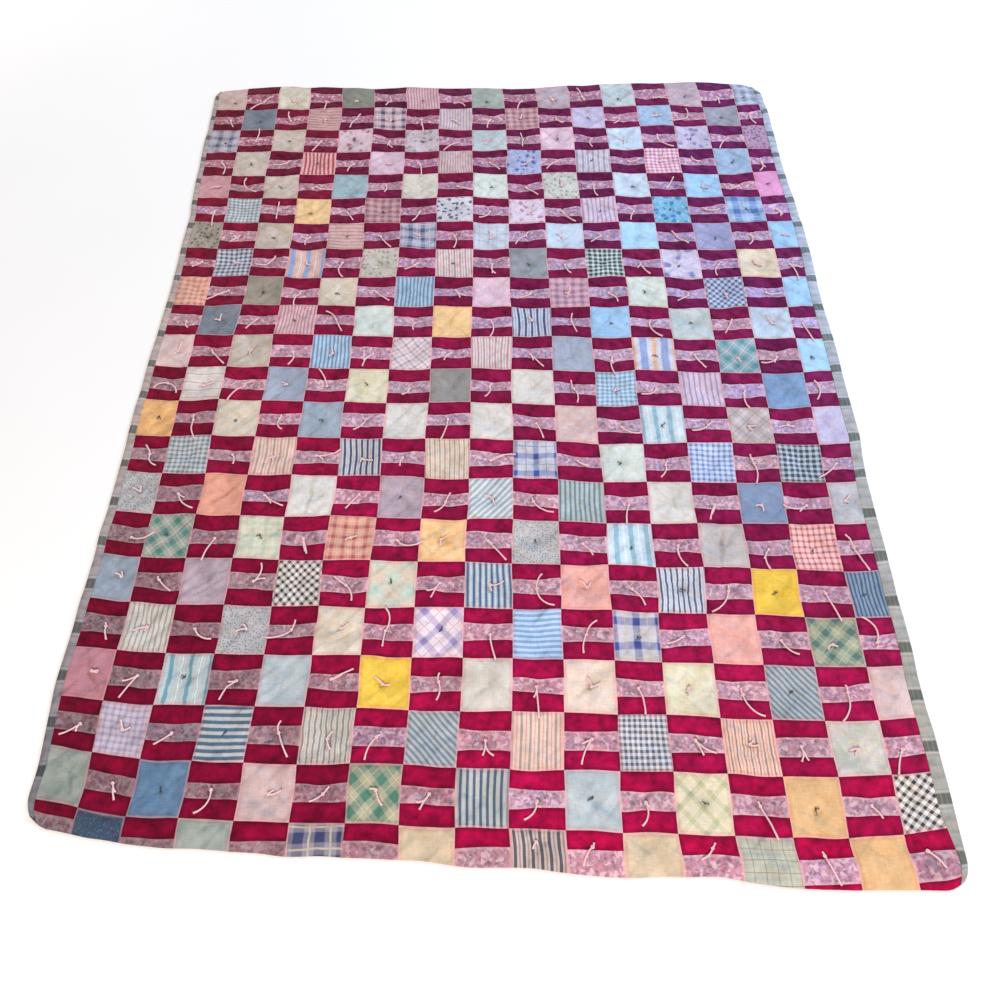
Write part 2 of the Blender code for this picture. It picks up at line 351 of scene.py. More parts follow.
# Height of the patchwork. barGap is how far the nearest seam between two bars is, in metres.
def faceHeight(u, v, barGap=1.0):
    right, down, column, row = fromTie(u, v)
    distance = np.hypot(right, down) * block / 2
    blunt = loft["tieBlunt"]
    rise = 1 - np.exp(-(np.sqrt(distance ** 2 + blunt ** 2) - blunt) / loft["tieReach"])
    height = loft["tie"] + (loft["full"] - loft["tie"]) * rise + loft["corner"] * np.abs(right * down)

    # gathers that run out from each tie
    angle = np.arctan2(down, right)
    folds = tieFolds[row, column]
    reach = distance / loft["puckerReach"]
    more, share = loft["puckerMore"]
    gathers = np.cos(folds * angle + tieTurn[0, row, column])
    gathers = gathers + share * np.cos((folds + more) * angle + tieTurn[1, row, column])
    height = height + loft["pucker"] * gathers * reach * np.exp(1 - reach)

    # seams: a groove, a soft shoulder on both sides, and the puckers of hand-fed cloth
    du = np.abs(u - np.round(u)) * block
    dv = np.abs(v - np.round(v)) * block
    width = loft["seamWidth"]
    shoulder, shoulderAt, shoulderWidth = loft["shoulder"]
    pucker, puckerLength, puckerReach = loft["seamPucker"]
    for gap, along, seed in ((du, v * block, 31), (dv, u * block, 32)):
        height = height - loft["seam"] * np.exp(-(gap / width) ** 2)
        height = height + shoulder * np.exp(-((gap - shoulderAt) / shoulderWidth) ** 2)
        puckers = ripple(along, np.round(u) + 7 * np.round(v), puckerLength, seed)
        height = height + pucker * puckers * np.exp(-gap / puckerReach)
    height = height - loft["barSeam"] * np.exp(-(barGap / width) ** 2)

    # creases, each block its own way
    x = u * block
    y = -v * block
    turn = creaseTurn[row, column]
    along = np.cos(turn) * x + np.sin(turn) * y
    over = np.cos(turn) * y - np.sin(turn) * x
    inside = smooth(np.minimum(du, dv) / loft["creaseClear"])
    waves = [ripple(along * drawn, over, size, seed) for size, drawn, seed in loft["creaseWaves"]]
    line = waves[0] * waves[1] + 0.5 * waves[2]
    height = height + loft["crease"] * creaseDepth[row, column] * line * inside
    swell = sum(share * ripple(x, y, size, seed) for size, share, seed in loft["swellSizes"])
    least = loft["swellAtTie"]
    height = height + loft["swell"] * swell * (least + (1 - least) * rise)
    stray, size = creaseLook["stray"]
    ridge, ridgeAt, ridgeWidth = creaseLook["ridge"]
    taper = creaseLook["taper"]
    for fromU, fromV, toU, toV, depth in creases:
        run = math.hypot(toU - fromU, toV - fromV)
        share = ((u - fromU) * (toU - fromU) + (v - fromV) * (toV - fromV)) / run ** 2
        off = ((u - fromU) * (toV - fromV) - (v - fromV) * (toU - fromU)) / run * block
        off = off + stray * ripple(share * run * block, fromU, size, seed=51)
        ends = smooth(share * taper) * smooth((1 - share) * taper)
        off = off / creaseLook["width"]
        raised = ridge * np.exp(-((off - ridgeAt) / ridgeWidth) ** 2)
        height = height - depth * ends * (np.exp(-off ** 2) - raised)
    least, soft = loft["least"], loft["leastSoft"]
    height = least + np.logaddexp(0, (height - least) / soft) * soft

    # down to the edges
    toSide = np.minimum(u - leftEdge, rightEdge - u) * block
    toEnd = np.minimum(v - headLine(u), footLine(u) - v) * block
    sideRise = smooth((toSide - loft["bindingWidth"]) / loft["slope"])
    endHeight = loft["edge"] + (loft["edgeStrip"] - loft["edge"]) * smooth(toEnd / loft["stripWidth"])
    more, over = loft["sideRise"]
    beside = loft["side"] + more * smooth((toSide - loft["bindingWidth"]) / over)
    endHeight = np.minimum(endHeight, beside)
    height = loft["side"] + (height - loft["side"]) * sideRise
    return endHeight + (height - endHeight) * smooth((toEnd - loft["edgeTurn"]) / loft["slope"])


# Scraps: what each cloth is. ground, band and line are its colours; repeat is in millimetres, share is how
# much of it the bands take, fine how much the thin lines take, turn is in degrees, waver is how far
# printed lines stray.

def cloth(kind, ground, band="", line="", repeat=20, share=0.45, fine=0.0, turn=0, waver=0.0):
    return {
        "kind": kind,
        "ground": tone(ground),
        "band": tone(band or ground),
        "line": tone(line or band or ground),
        "repeat": repeat / 1000,
        "share": share,
        "fine": fine,
        "turn": math.radians(turn),
        "waver": waver,
    }


plainCloths = {
    "cream": ("#dad0c3", "#cdbfa6"), "milk": ("#dcdbd9", "#cfcbc2"),
    "parchment": ("#d6d0c7", "#c8c1b6"), "oat": ("#cdc0b8", "#b8aa98"),
    "shell": ("#ccb4ad", "#bfa39c"), "rose": ("#cfa0a3", "#c4929a"),
    "petal": ("#dec4d2", "#cfb0c6"), "orchid": ("#dc9cc8", "#d08dbb"),
    "blush": ("#dbc4c4", "#cfb3ae"), "dusty": ("#cc939f", "#b87d88"),
    "salmon": ("#e2a48f", "#d6947e"), "coral": ("#ebb7b1", "#dfa497"),
    "peach": ("#e3bd8e", "#d6ad7c"), "wheat": ("#d5c3a9", "#c6b396"),
    "peachMilk": ("#ecdacd", "#e0cab8"), "orange": ("#ecbd84", "#d8a267"),
    "butter": ("#ecca9c", "#e0ba84"), "golden": ("#fbd3a4", "#ecbb7c"),
    "sunny": ("#f1cd57", "#e4bd48"), "pear": ("#e3dfcc", "#d2cba8"),
    "sky": ("#a2c8ea", "#92bade"), "ice": ("#c6d6e8", "#b4c8dd"),
    "frost": ("#c0cacd", "#aebcc4"), "mist": ("#a3b0be", "#93a1b1"),
    "slate": ("#828790", "#6c7682"), "teal": ("#a3b6c0", "#8ca9b0"),
    "mint": ("#d6dedb", "#c3cfc6"), "sage": ("#a9b2ac", "#98a49a"),
    "moss": ("#8c877e", "#7d857a"), "olive": ("#9f968a", "#8e8677"),
    "lilac": ("#cbc6dc", "#b1a9cf"), "lavender": ("#a2a5cb", "#9194bc"),
    "mauve": ("#bbaab4", "#a795a3"), "dove": ("#bebfc6", "#a4a3a8"),
    "pebble": ("#c8c2c2", "#b9b3b2"), "storm": ("#9ca2ac", "#858e94"),
    "rain": ("#a4bbd6", "#93abcb"), "pewter": ("#a09f9e", "#898582"),
    "denim": ("#89a9d0", "#7190b8"), "indigo": ("#6f8fae", "#5d7c9c"),
    "chambray": ("#a8b0c2", "#95a0b6"), "greyBlue": ("#9d9fad", "#8b8fa1"),
    "azure": ("#b2d9f4", "#a1cbe8"), "steel": ("#8698b4", "#7b8db0"),
}
stripedCloths = {
    "pinkLine": ("#d4b6ba", "#b6828e", "#a7707c", 9, 0.42),
    "dustyLine": ("#cfa9aa", "#b58a88", "#c79a98", 12, 0.5, 0, 90),
    "blushLine": ("#d6c6cc", "#b29daa", "#a78aa0", 9, 0.4),
    "redLine": ("#d8a6a4", "#ac4c58", "#dcc4c0", 12, 0.44, 0.1),
    "fineBeige": ("#d6bfbc", "#b094a0", "#b094a0", 8),
    "smokeLine": ("#cbcbda", "#a3a0b2", "#c9a0b0", 16, 0.4, 0.12),
    "pinkRow": ("#d2b0ae", "#b9908f", "#c2a09c", 13, 0.35, 0, 90),
    "creamPink": ("#dccfd0", "#b9929a", "#8f8a86", 15, 0.3, 0.12),
    "blueLine": ("#a9bfd4", "#6f8fae", "#cfdae4", 10, 0.45, 0, 0, 0.08),
    "navyLine": ("#c9cfdf", "#4c5a80", "#8a93b4", 17, 0.34, 0.14),
    "orangeBlue": ("#cfaca0", "#8b9fc4", "#d8c8cc", 44, 0.3, 0.12),
    "candyLine": ("#d3d7ea", "#9aacd8", "#e8bc9c", 52, 0.34, 0.22),
    "creamRow": ("#d6cdc6", "#a9a3a2", "#a9a3a2", 24, 0.1, 0, 90),
    "mauveLine": ("#d4c2d6", "#a898b4", "#b6a4c0", 13, 0.35),
    "paleLine": ("#c6dcea", "#98bacb", "#e2ebf0", 34, 0.32, 0.15, 0, 0.05),
    "brownLine": ("#c4b6b0", "#5f5a62", "#9f8a88", 16, 0.36, 0.18),
    "fineLine": ("#dfd2c1", "#a69d92", "#d8ab9d", 11, 0.3, 0.14),
    "navyBold": ("#cbcacd", "#4b5270", "#9d9aa6", 14, 0.38, 0.12),
    "skyDiagonal": ("#a5b4bd", "#dbe3e7", "", 12, 0.42, 0, -45),
    "slateLine": ("#a6b5b8", "#75878f", "#c0c8c6", 11, 0.4, 0.1),
    "blueBrown": ("#a5b4c4", "#566a84", "#cdd3d4", 13, 0.36, 0.2),
    "greyLine": ("#b3b7b8", "#566677", "#c3c7c6", 13, 0.4, 0.1),
    "wavyNavy": ("#d3d6de", "#56627f", "#a4adc0", 12, 0.34, 0.1, 0, 0.14),
    "denimLine": ("#8496aa", "#4c6482", "#96a6b6", 8, 0.45),
    "wavyBeige": ("#d5d2cb", "#aba69d", "#b9b2a6", 11, 0.36, 0, 0, 0.2),
    "blueRow": ("#b3cdea", "#86a6cc", "#d6e2f2", 11, 0.5, 0, 90),
    "tealRow": ("#becccf", "#74a3b0", "#e4e9e8", 42, 0.2, 0.1, 0, 0.06),
    "slateFine": ("#aeb6bb", "#78868f", "#78868f", 10, 0.45, 0, 45),
    "boldRow": ("#c8ccd0", "#5b7386", "#8e9cab", 13, 0.5, 0, 90),
    "ikat": ("#c8c5bd", "#8f8b85", "#b9a39c", 11, 0.33, 0.12, 0, 0.25),
    "creamBrown": ("#e0cbbd", "#b39a90", "#d79f98", 17, 0.28, 0.16),
    "peachLine": ("#eccbbd", "#a38c82", "#dc9f8a", 13, 0.24, 0.2, 0, 0.15),
}
checkedCloths = {
    "skyPlaid": ("#a6b0c2", "#7f89a0", "#d2d6de", 30, 0.4, 0.08),
    "navyPlaid": ("#c8b2b8", "#5a4e68", "#dcc8ca", 34, 0.34, 0.07),
    "rosePlaid": ("#c29ca2", "#966a76", "#d4beb6", 22, 0.42, 0.06),
    "mauvePlaid": ("#c6a6b8", "#9a7088", "#d4beb6", 22, 0.42, 0.06),
    "darkPlaid": ("#b0abb6", "#5d6078", "#d4d0d4", 36, 0.34, 0.06),
    "pinkGingham": ("#e6cdd8", "#b8739a", "", 13, 0.46),
    "greyCheck": ("#c6cccf", "#7d868b", "", 12, 0.45),
    "bigPlaid": ("#9fb9de", "#5274ae", "#dfe6f2", 50, 0.38, 0.05),
    "bluePlaid": ("#b0b0c0", "#515a84", "#d4d4dc", 38, 0.34, 0.07),
    "creamPlaid": ("#9c97a4", "#42486e", "#d0c4ac", 40, 0.48, 0.12),
    "window": ("#c4ccda", "#9fb0c8", "", 26, 0.12),
    "smallCheck": ("#c8cad1", "#565c73", "", 14, 0.48),
    "greyGingham": ("#c6d6d8", "#3a4a4f", "", 14, 0.55),
    "peachCheck": ("#e0ab98", "#b98374", "#e6cbbd", 17, 0.4, 0.07),
    "twill": ("#b6c2dc", "#4f5a80", "", 13, 0.45, 0, 45),
    "slantPlaid": ("#dfd2d6", "#968c9c", "#c98a94", 24, 0.2, 0.08, 40),
    "greenPlaid": ("#a6aaa0", "#56897f", "#d6d4bc", 34, 0.36, 0.07, 45),
    "fineCheck": ("#c3d9ec", "#7c9fbd", "", 12, 0.5),
    "geoPlaid": ("#bab0b2", "#d1c8ca", "#8e8377", 34, 0.25, 0.08, 45),
    "squarePlaid": ("#c6c8d4", "#4459a2", "#7b84a8", 50, 0.28, 0.07),
    "blueGingham": ("#c6d4ef", "#7089b9", "", 12.5, 0.45),
    "blackCheck": ("#b6c3d3", "#3f4e55", "", 14, 0.54),
    "paleGreen": ("#d6d6c2", "#bcc7b0", "#cdb9a2", 30, 0.3, 0.05),
    "paleArgyle": ("#d5c8ba", "#bccebf", "#e3cfa4", 50, 0.4, 0.08, 45),
    "redPlaid": ("#dca89c", "#b0605c", "#e4c486", 24, 0.32, 0.08),
    "coralGingham": ("#eebdb9", "#a66068", "", 13, 0.38),
    "hound": ("#e0dad2", "#403d41", "", 13.5, 0.46, 0, 45),
    "lilacPlaid": ("#e4d8de", "#9a8cbc", "#c97f92", 44, 0.3, 0.06, 45),
    "navyYellow": ("#c8c6cf", "#46549a", "#d6c07a", 50, 0.32, 0.06),
    "greenYellow": ("#a5ad99", "#5d7c73", "#cfc28a", 36, 0.36, 0.07, 45),
    "lilacWindow": ("#c9c1d0", "#a898ad", "#c39aa8", 13, 0.4),
    "navyGingham": ("#dad8dc", "#5c6474", "", 11, 0.5),
    "tealPlaid": ("#99a9b5", "#55959f", "#d4dfe0", 34, 0.36, 0.07, 45),
    "argyle": ("#b3b09a", "#548672", "#e0d096", 40, 0.42, 0.06, 45),
    "greenCream": ("#e0d6bc", "#b9bd96", "#cfd0aa", 30, 0.3, 0.06, 45),
    "greyPlaid": ("#babaaa", "#aab0a6", "#6c7674", 20, 0.3, 0.09),
    "blotch": ("#d3ccc6", "#b6bcb0", "#ddd5a4", 80, 0.4, 0.05, 45, 0.16),
}
printedCloths = {
    "roseSprig": ("#cdb6be", "#a06c7a", "#a0a498", 27),
    "greySprig": ("#c3b6be", "#8a968f", "#a87f86", 20),
    "lilacSprig": ("#bcb6d2", "#9086b8", "#8aa090", 22),
    "rosySprig": ("#a88ba6", "#785a80", "#bda9c0", 13),
    "paisley": ("#a6afd4", "#5f6ca2", "#cfd2e4", 20),
    "beigeSprig": ("#c8cbc8", "#98a290", "#b9a08f", 14),
    "darkSprig": ("#ccc9d4", "#5c647a", "#8e9aa0", 18),
    "pinkSprig": ("#dfd1e2", "#b98fae", "#8fa0a0", 22),
    "turquoise": ("#7eb3d2", "#3f84b8", "#bcdcec", 24),
    "mossSprig": ("#a39a8e", "#6b6a60", "#c6bfb2", 14),
    "sageSprig": ("#c3bcb2", "#93978a", "#b48f86", 15),
    "lilacDots": ("#cfc9e4", "#8c8dc0", "#e0dcf0", 34),
    "tweed": ("#b9b9bb", "#878a8e", "#dcdad5", 5.5),
    "denimPrint": ("#43546b", "#34485f", "#7f8d9e", 8),
}
scraps = {}
for kind, cloths in (("plain", plainCloths), ("striped", stripedCloths), ("checked", checkedCloths),
                     ("printed", printedCloths)):
    for name, look in cloths.items():
        scraps[name] = cloth(kind, *look)

# The scraps in the order they were sewn, head row first, rails left out
scrapRows = """
shell cream moss pinkLine sage mauve frost mauve skyPlaid
slate dustyLine navyPlaid blushLine rosePlaid lilac rain greyBlue
darkPlaid oat roseSprig greySprig frost petal ice lilacSprig rosySprig
oat redLine petal fineBeige paisley smokeLine pinkGingham rain
rose oat teal parchment mint beigeSprig ice sky orchid
greyCheck butter rosePlaid darkSprig pinkSprig mauveLine turquoise bigPlaid
mossSprig oat pinkRow bluePlaid window ice azure lavender sky
smallCheck orangeBlue sageSprig creamPink storm greyGingham lilacDots cream
peachCheck olive cream blueLine petal mauvePlaid mint twill sky
slate pinkLine mint butter navyLine sky frost ice
blush oat blueLine slantPlaid creamPink chambray candyLine tealPlaid azure
creamRow chambray pear pewter milk fineCheck mauveLine denim
orange cream mist milk milk blush paleLine geoPlaid lilac
greyCheck creamBrown navyBold fineLine squarePlaid mint blueGingham blackCheck
tweed salmon milk mauve skyDiagonal slateLine milk steel dove
greenPlaid paleGreen redPlaid golden tweed paleLine pebble coralGingham
mist mauve hound paleArgyle blueBrown coral wavyNavy sunny denimLine
wavyBeige tweed cream lilacPlaid blueRow navyYellow coral greenYellow
dusty tealRow frost sunny parchment peachMilk pear slateFine blush
lilacWindow boldRow ikat slateFine creamBrown navyGingham peachLine blotch
sage indigo blush argyle greyLine frost greenCream peach hound
denimPrint sage creamPlaid wheat brownLine wheat greyPlaid peach
"""

rails = {
    "maroonHead": "#43101e",  # the rails at the head are a dull plum, painted darker as shade where less light reaches
    "maroonFoot": "#aa0440",
    "maroonRight": "#4b1a5a",  # and those on the right a purple
    "maroonRed": "#a00f2e",  # a few were cut from a redder bolt
    # the print is painted darker at the head too, as shade
    "printHead": "#964458",
    "printFoot": "#b47a84",
    "printLilac": "#9592d6",  # more of the lilac ones are on the right
    "rose": "#cb8c99",  # its flowers
    "petal": "#dfbfc6",
    "printGrey": "#a2999f",
    "ridgeHighlight": "#f8cfd2",  # painted highlight where the ridge beside a seam catches the light
    "leftShade": 0.40,  # painted shade: the bars are painted darkest at the left corner of the foot, where least light reaches
    "leftCornerReach": (1.7, 1.6),  # how fast that painted shade, and the grey below, end to the right and towards the head
    "leftGrey": 0.4,
    "leftSquareShade": 0.24,  # the squares get that painted shade too, by less
    "leftSquareShadeReach": (1.7, 2.0),
    "purple": (0.9, 0.95, 1.5),  # how much on the right, how much of it the foot loses, and how late
    "redLoss": 0.7,  # how much of the red the foot loses
    "lilacRows": (0.20, 0.95, 0.36, 0.30),  # least, how much more at most, where that is, how wide
    "lilacFlowers": 0.35,
    "paleRows": (0.07, 0.5, 0.22),  # how much paler the print is in the middle rows, where, how wide
    "headEdges": 0.9,  # the dye bled along the seams and the painted highlight beside them are so much narrower at the head
    "unevenness": 0.032,  # how far the bars' seams stray, in blocks
    "tilt": 0.045,
    "waver": (0.030, 0.032),  # how wavy those seams are, in blocks, and over what distance in metres
    "waverFoot": 0.4,  # the share of that at the foot, and how much more of it at the head
    "waverHead": 0.9,
    # in the last row: how far the lower seam drops, before that column and from it on, and how far
    # the upper one rises in the first two
    "footShift": (0.16, 0.10),
    "footShiftColumn": 14,
    "footRise": 0.12,
    # what chance gives each block: how light it is, how stained, and how much of another dye it has
    "scrapLight": (0.94, 1.03),
    "scrapStain": (-0.6, 0.3),
    "railLight": (0.90, 1.10),
    "redShare": (0.10, 0.32),
    "lilacShare": (0.6, 1.0),
    "lilacUsual": 0.9,  # the share of blocks that take the lilac by their place
    "lilacElsewhere": 0.28,
    "greyShare": (0, 0.4),
}
dyes = {key: tone(value) for key, value in rails.items() if isinstance(value, str)}


def mirrored(half):
    half = np.array(half)
    return np.concatenate([half, 1 - half[-2::-1]])


# where the mesh lines fall across a block: close at the seams and round the tie
uStops = mirrored([0, 0.016, 0.045, 0.085, 0.13, 0.18, 0.23, 0.28, 0.325, 0.37, 0.41, 0.445, 0.475, 0.5])
vStops = mirrored([0, 0.016, 0.045, 0.09, 0.14, 0.19, 0.24, 0.285, 0.317, 1 / 3, 0.35, 0.385, 0.42, 0.455,
                   0.48, 0.5])
barLines = (0, 9, 21, 30)  # the mesh lines that the seams between bars follow
turnedEdge = ((0.0008, 0.0030), (0.0012, 0.0022), (0.0009, 0.0012))  # how far out, how high, going down

patches = {"plain": [], "striped": [], "checked": [], "printed": [], "maroon": [], "rail": []}
chance = np.random.default_rng(17)


def blend(first, last, share):
    return tuple(a + (b - a) * share for a, b in zip(first, last))


# One piece of cloth, with its part of the turned-in edge where it reaches the head or the foot.
def addPatch(kind, column, row, first, last, values, shifts=(0, 0, 0, 0)):
    across = np.clip(column + uStops, leftEdge, rightEdge)
    stops = vStops[first:last + 1]
    u, t = np.meshgrid(across, stops)
    centre = u - column - 0.5
    reach, size = rails["waver"]
    reach *= rails["waverFoot"] + rails["waverHead"] * (1 - row / rows)
    low = shifts[0] + shifts[1] * centre + reach * ripple(u * block, (3 * row + 1) * block, size, seed=51)
    high = shifts[2] + shifts[3] * centre + reach * ripple(u * block, (3 * row + 2) * block, size, seed=52)
    low = low * np.clip(1 - np.abs(t - 1 / 3) * 3, 0, 1)
    high = high * np.clip(1 - np.abs(t - 2 / 3) * 3, 0, 1)
    bars = values["kind"] == "bar"
    barGap = np.minimum(np.abs(t - 1 / 3), np.abs(t - 2 / 3)) * block if bars else np.ones_like(t)
    v = row + t + (low + high if bars else 0)
    if row == 0:
        v = headLine(u) + v * (1 - headLine(u))
    if row == rows - 1:
        v = np.minimum(v, footLine(u))
    edge = np.minimum(u - column, column + 1 - u)
    edge = np.where((u < quilt["plainLeft"]) | (u > columns - quilt["plainRight"]), 1, edge)
    ends = np.minimum(t - stops[0], stops[-1] - t)
    edge = np.minimum(edge, ends) * block * (1 + rails["headEdges"] * (1 - row / rows))
    out = np.zeros_like(u)
    height = np.full_like(u, np.nan)
    turns = len(turnedEdge)
    if row == 0 and first == 0:
        u, v, t, edge, barGap = [np.vstack([a[:1]] * turns + [a]) for a in (u, v, t, edge, barGap)]
        out = np.vstack([[[o] * u.shape[1] for o, h in turnedEdge[::-1]], out])
        height = np.vstack([[[h] * u.shape[1] for o, h in turnedEdge[::-1]], height])
    if row == rows - 1:
        if (v[-1] - v[0]).max() < 0.01:  # the foot has cut it off
            return
        if (v[-1] >= footLine(u[-1]) - 1e-9).all():
            u, v, t, edge, barGap = [np.vstack([a] + [a[-1:]] * turns) for a in (u, v, t, edge, barGap)]
            out = np.vstack([out, [[-o] * u.shape[1] for o, h in turnedEdge]])
            height = np.vstack([height, [[h] * u.shape[1] for o, h in turnedEdge]])
    lines, width = u.shape
    # points that a trimmed side or the foot has squeezed together count as one
    sameU = np.searchsorted(u[0], u[0])
    firstSame = np.tile(np.arange(lines)[:, None], (1, width))
    if row == rows - 1:
        flat = out == 0
        for j, i in zip(*np.nonzero(flat)):
            firstSame[j, i] = np.argmax((v[:, i] == v[j, i]) & flat[:, i])
    numbers = firstSame * width + sameU[None, :]
    corners = np.stack([numbers[:-1, :-1], numbers[1:, :-1], numbers[1:, 1:], numbers[:-1, 1:]], -1)
    turn = values["turn"] + math.radians(chance.uniform(-quilt["askew"], quilt["askew"]))
    px = (u - column - 0.5) * block
    py = (row + 0.5 - v) * block
    pattern = np.stack([np.cos(turn) * px + np.sin(turn) * py, np.cos(turn) * py - np.sin(turn) * px], -1)
    pattern = pattern / values["repeat"] + chance.uniform(0, 1, 2)
    right, down, _, _ = fromTie(u, v)
    tie = np.hypot(right, down) * block / 2
    ones = np.ones_like(u)
    whole = {
        "weave": [values["share"], values["fine"], values["waver"]],
        "ground": values["ground"],
        "band": values["band"],
        "line": values["line"],
        # the painted ridge highlight, dimmed by the painted corner shade
        "ridgeHighlight": [c * values["cornerShade"] for c in tone(rails["ridgeHighlight"])[:3]] + [1.0],
    }
    patches[kind].append({
        "u": u.ravel(),
        "v": v.ravel(),
        "out": out.ravel(),
        "height": height.ravel(),
        "barGap": barGap.ravel(),
        "corners": corners.reshape(-1, 4),
        "pattern": np.dstack([pattern, ones * chance.uniform(0, 10)]).reshape(-1, 3),
        "place": np.dstack([edge, tie, ones * values["stain"]]).reshape(-1, 3),
        **{key: np.tile(value, (u.size, 1)) for key, value in whole.items()},
    })


names = [line.split() for line in scrapRows.strip().split("\n")]
for row in range(rows):
    for column in range(columns):
        down = row / (rows - 1)
        across = column / (columns - 1)
        if (column + row) % 2 == 0:
            values = dict(scraps[names[row][column // 2]])
            light = chance.uniform(*rails["scrapLight"])  # no two scraps have faded alike
            # painted shade: each square is darkened towards the left corner of the foot
            rightwards, headwards = rails["leftSquareShadeReach"]
            cornerShadeShare = 1 - min(1.0, rightwards * column / (columns - 1) + headwards * (1 - down))
            cornerShade = 1 - rails["leftSquareShade"] * cornerShadeShare
            light *= cornerShade
            for key in ("ground", "band", "line"):
                values[key] = tuple(min(c * light, 1.0) for c in values[key][:3]) + (1.0,)
            values["stain"] = max(0.0, chance.uniform(*rails["scrapStain"]))
            values["cornerShade"] = cornerShade ** 2
            addPatch(values["kind"], column, row, 0, barLines[-1], values)
            continue
        light = chance.uniform(*rails["railLight"])
        maroon = blend(dyes["maroonHead"], dyes["maroonFoot"], down)
        most, loss, lateness = rails["purple"]
        maroon = blend(maroon, dyes["maroonRight"], most * across * (1 - loss * down ** lateness))
        red = chance.uniform(*rails["redShare"]) * (1 - rails["redLoss"] * down)
        maroon = blend(maroon, dyes["maroonRed"], red)
        printed = blend(dyes["printHead"], dyes["printFoot"], down)
        # the lilac print is commonest about a third of the way down, on the right
        least, more, middle, spread = rails["lilacRows"]
        hump = least + more * math.exp(-((down - middle) / spread) ** 2)
        lilac = rails["lilacElsewhere"]
        if chance.uniform() < rails["lilacUsual"]:
            lilac = min(across * chance.uniform(*rails["lilacShare"]) * hump, 1.0)
        printed = blend(printed, dyes["printLilac"], lilac)
        # painted shade: each bar is darkened towards the left corner of the foot, and its print there is
        # greyed
        rightwards, headwards = rails["leftCornerReach"]
        awayFromCorner = min(1.0, across * rightwards + headwards * (1 - down))
        grey = chance.uniform(*rails["greyShare"]) + rails["leftGrey"] * (1 - awayFromCorner)
        printed = blend(printed, dyes["printGrey"], grey)
        cornerShade = 1 - (1 - rails["leftShade"]) * (1 - awayFromCorner ** 2)
        light *= cornerShade
        stray = rails["unevenness"]
        shifts = chance.uniform(-1, 1, 4) * (stray, rails["tilt"], stray, rails["tilt"])
        if row == rows - 1:
            shifts[2] = rails["footShift"][column >= rails["footShiftColumn"]]
            shifts[0] -= rails["footRise"] * (column < 2)
        tinge = lilac * rails["lilacFlowers"]
        flowers = [blend(dyes[key], dyes["printLilac"], tinge) for key in ("rose", "petal")]
        most, middle, spread = rails["paleRows"]
        paler = most * math.exp(-((down - middle) / spread) ** 2)
        printColours = [blend(colour, (1, 1, 1), paler) for colour in [printed] + flowers]
        for part, kind in enumerate(("maroon", "rail", "maroon")):
            colours = printColours if kind == "rail" else [maroon] * 3
            colours = [tuple(c * light for c in colour[:3]) + (1.0,) for colour in colours]
            values = dict(zip(("ground", "band", "line"), colours), kind="bar", repeat=1.0, share=0, fine=0,
                          turn=0, waver=0, stain=0.0, cornerShade=cornerShade)
            addPatch(kind, column, row, barLines[part], barLines[part + 1], values, shifts)
print("patches cut:", {kind: len(found) for kind, found in patches.items()})


# Cloth materials

cotton = {
    "ior": 1.5,
    "roughness": 0.86,
    "specular": 0.10,
    "sheen": 0.02,
    "sheenRoughness": 0.5,
    "threadWidth": 0.0011,  # real threads are 0.4 mm apart; drawn wider so that they show
    "threadLength": 0.016,
    "threadDepth": 0.00018,
    "threadShade": (0.84, 1.15),  # the darkest and lightest threads
    "napScale": 420.0,
    "crumple": (0.075, 0.021),  # long creases that washing leaves: how long and how wide
    "crumpleWays": (0.75, -0.60),  # which ways they run
    "crumpleDepth": (0.0096, 0.0094),  # at the foot and at the head
    "fadeSize": 0.060,
    "fadeShade": (0.83, 1.11),
    "bleed": "#f7d3d6",  # what the maroon dye has left along the seams
    "bleedWidth": 0.011,
    "bleedStart": -0.003,
    "bleedStray": -0.006,  # how unevenly it and the painted ridge highlight run along a seam
    "highlightStray": -0.002,
    "highlightWidth": 0.0042,
    "strayScale": 60.0,
    "stain": "#c3c8b8",
    "stainReach": 0.024,
}
weaveLook = {
    "strayScale": 55.0,
    "stray": 0.06,  # how far any pattern strays, in repeats, and how much more by its waver
    "strayMore": 2.0,
    "bandSoft": 0.035,  # how soft the sides of bands and lines are
    "lineSoft": 0.03,
    "pins": (0.36, 0.03, 0.35),  # pinstripes: how far from a repeat's middle, half how wide, how strong
}
gently = {"interpolation_type": "SMOOTHSTEP"}
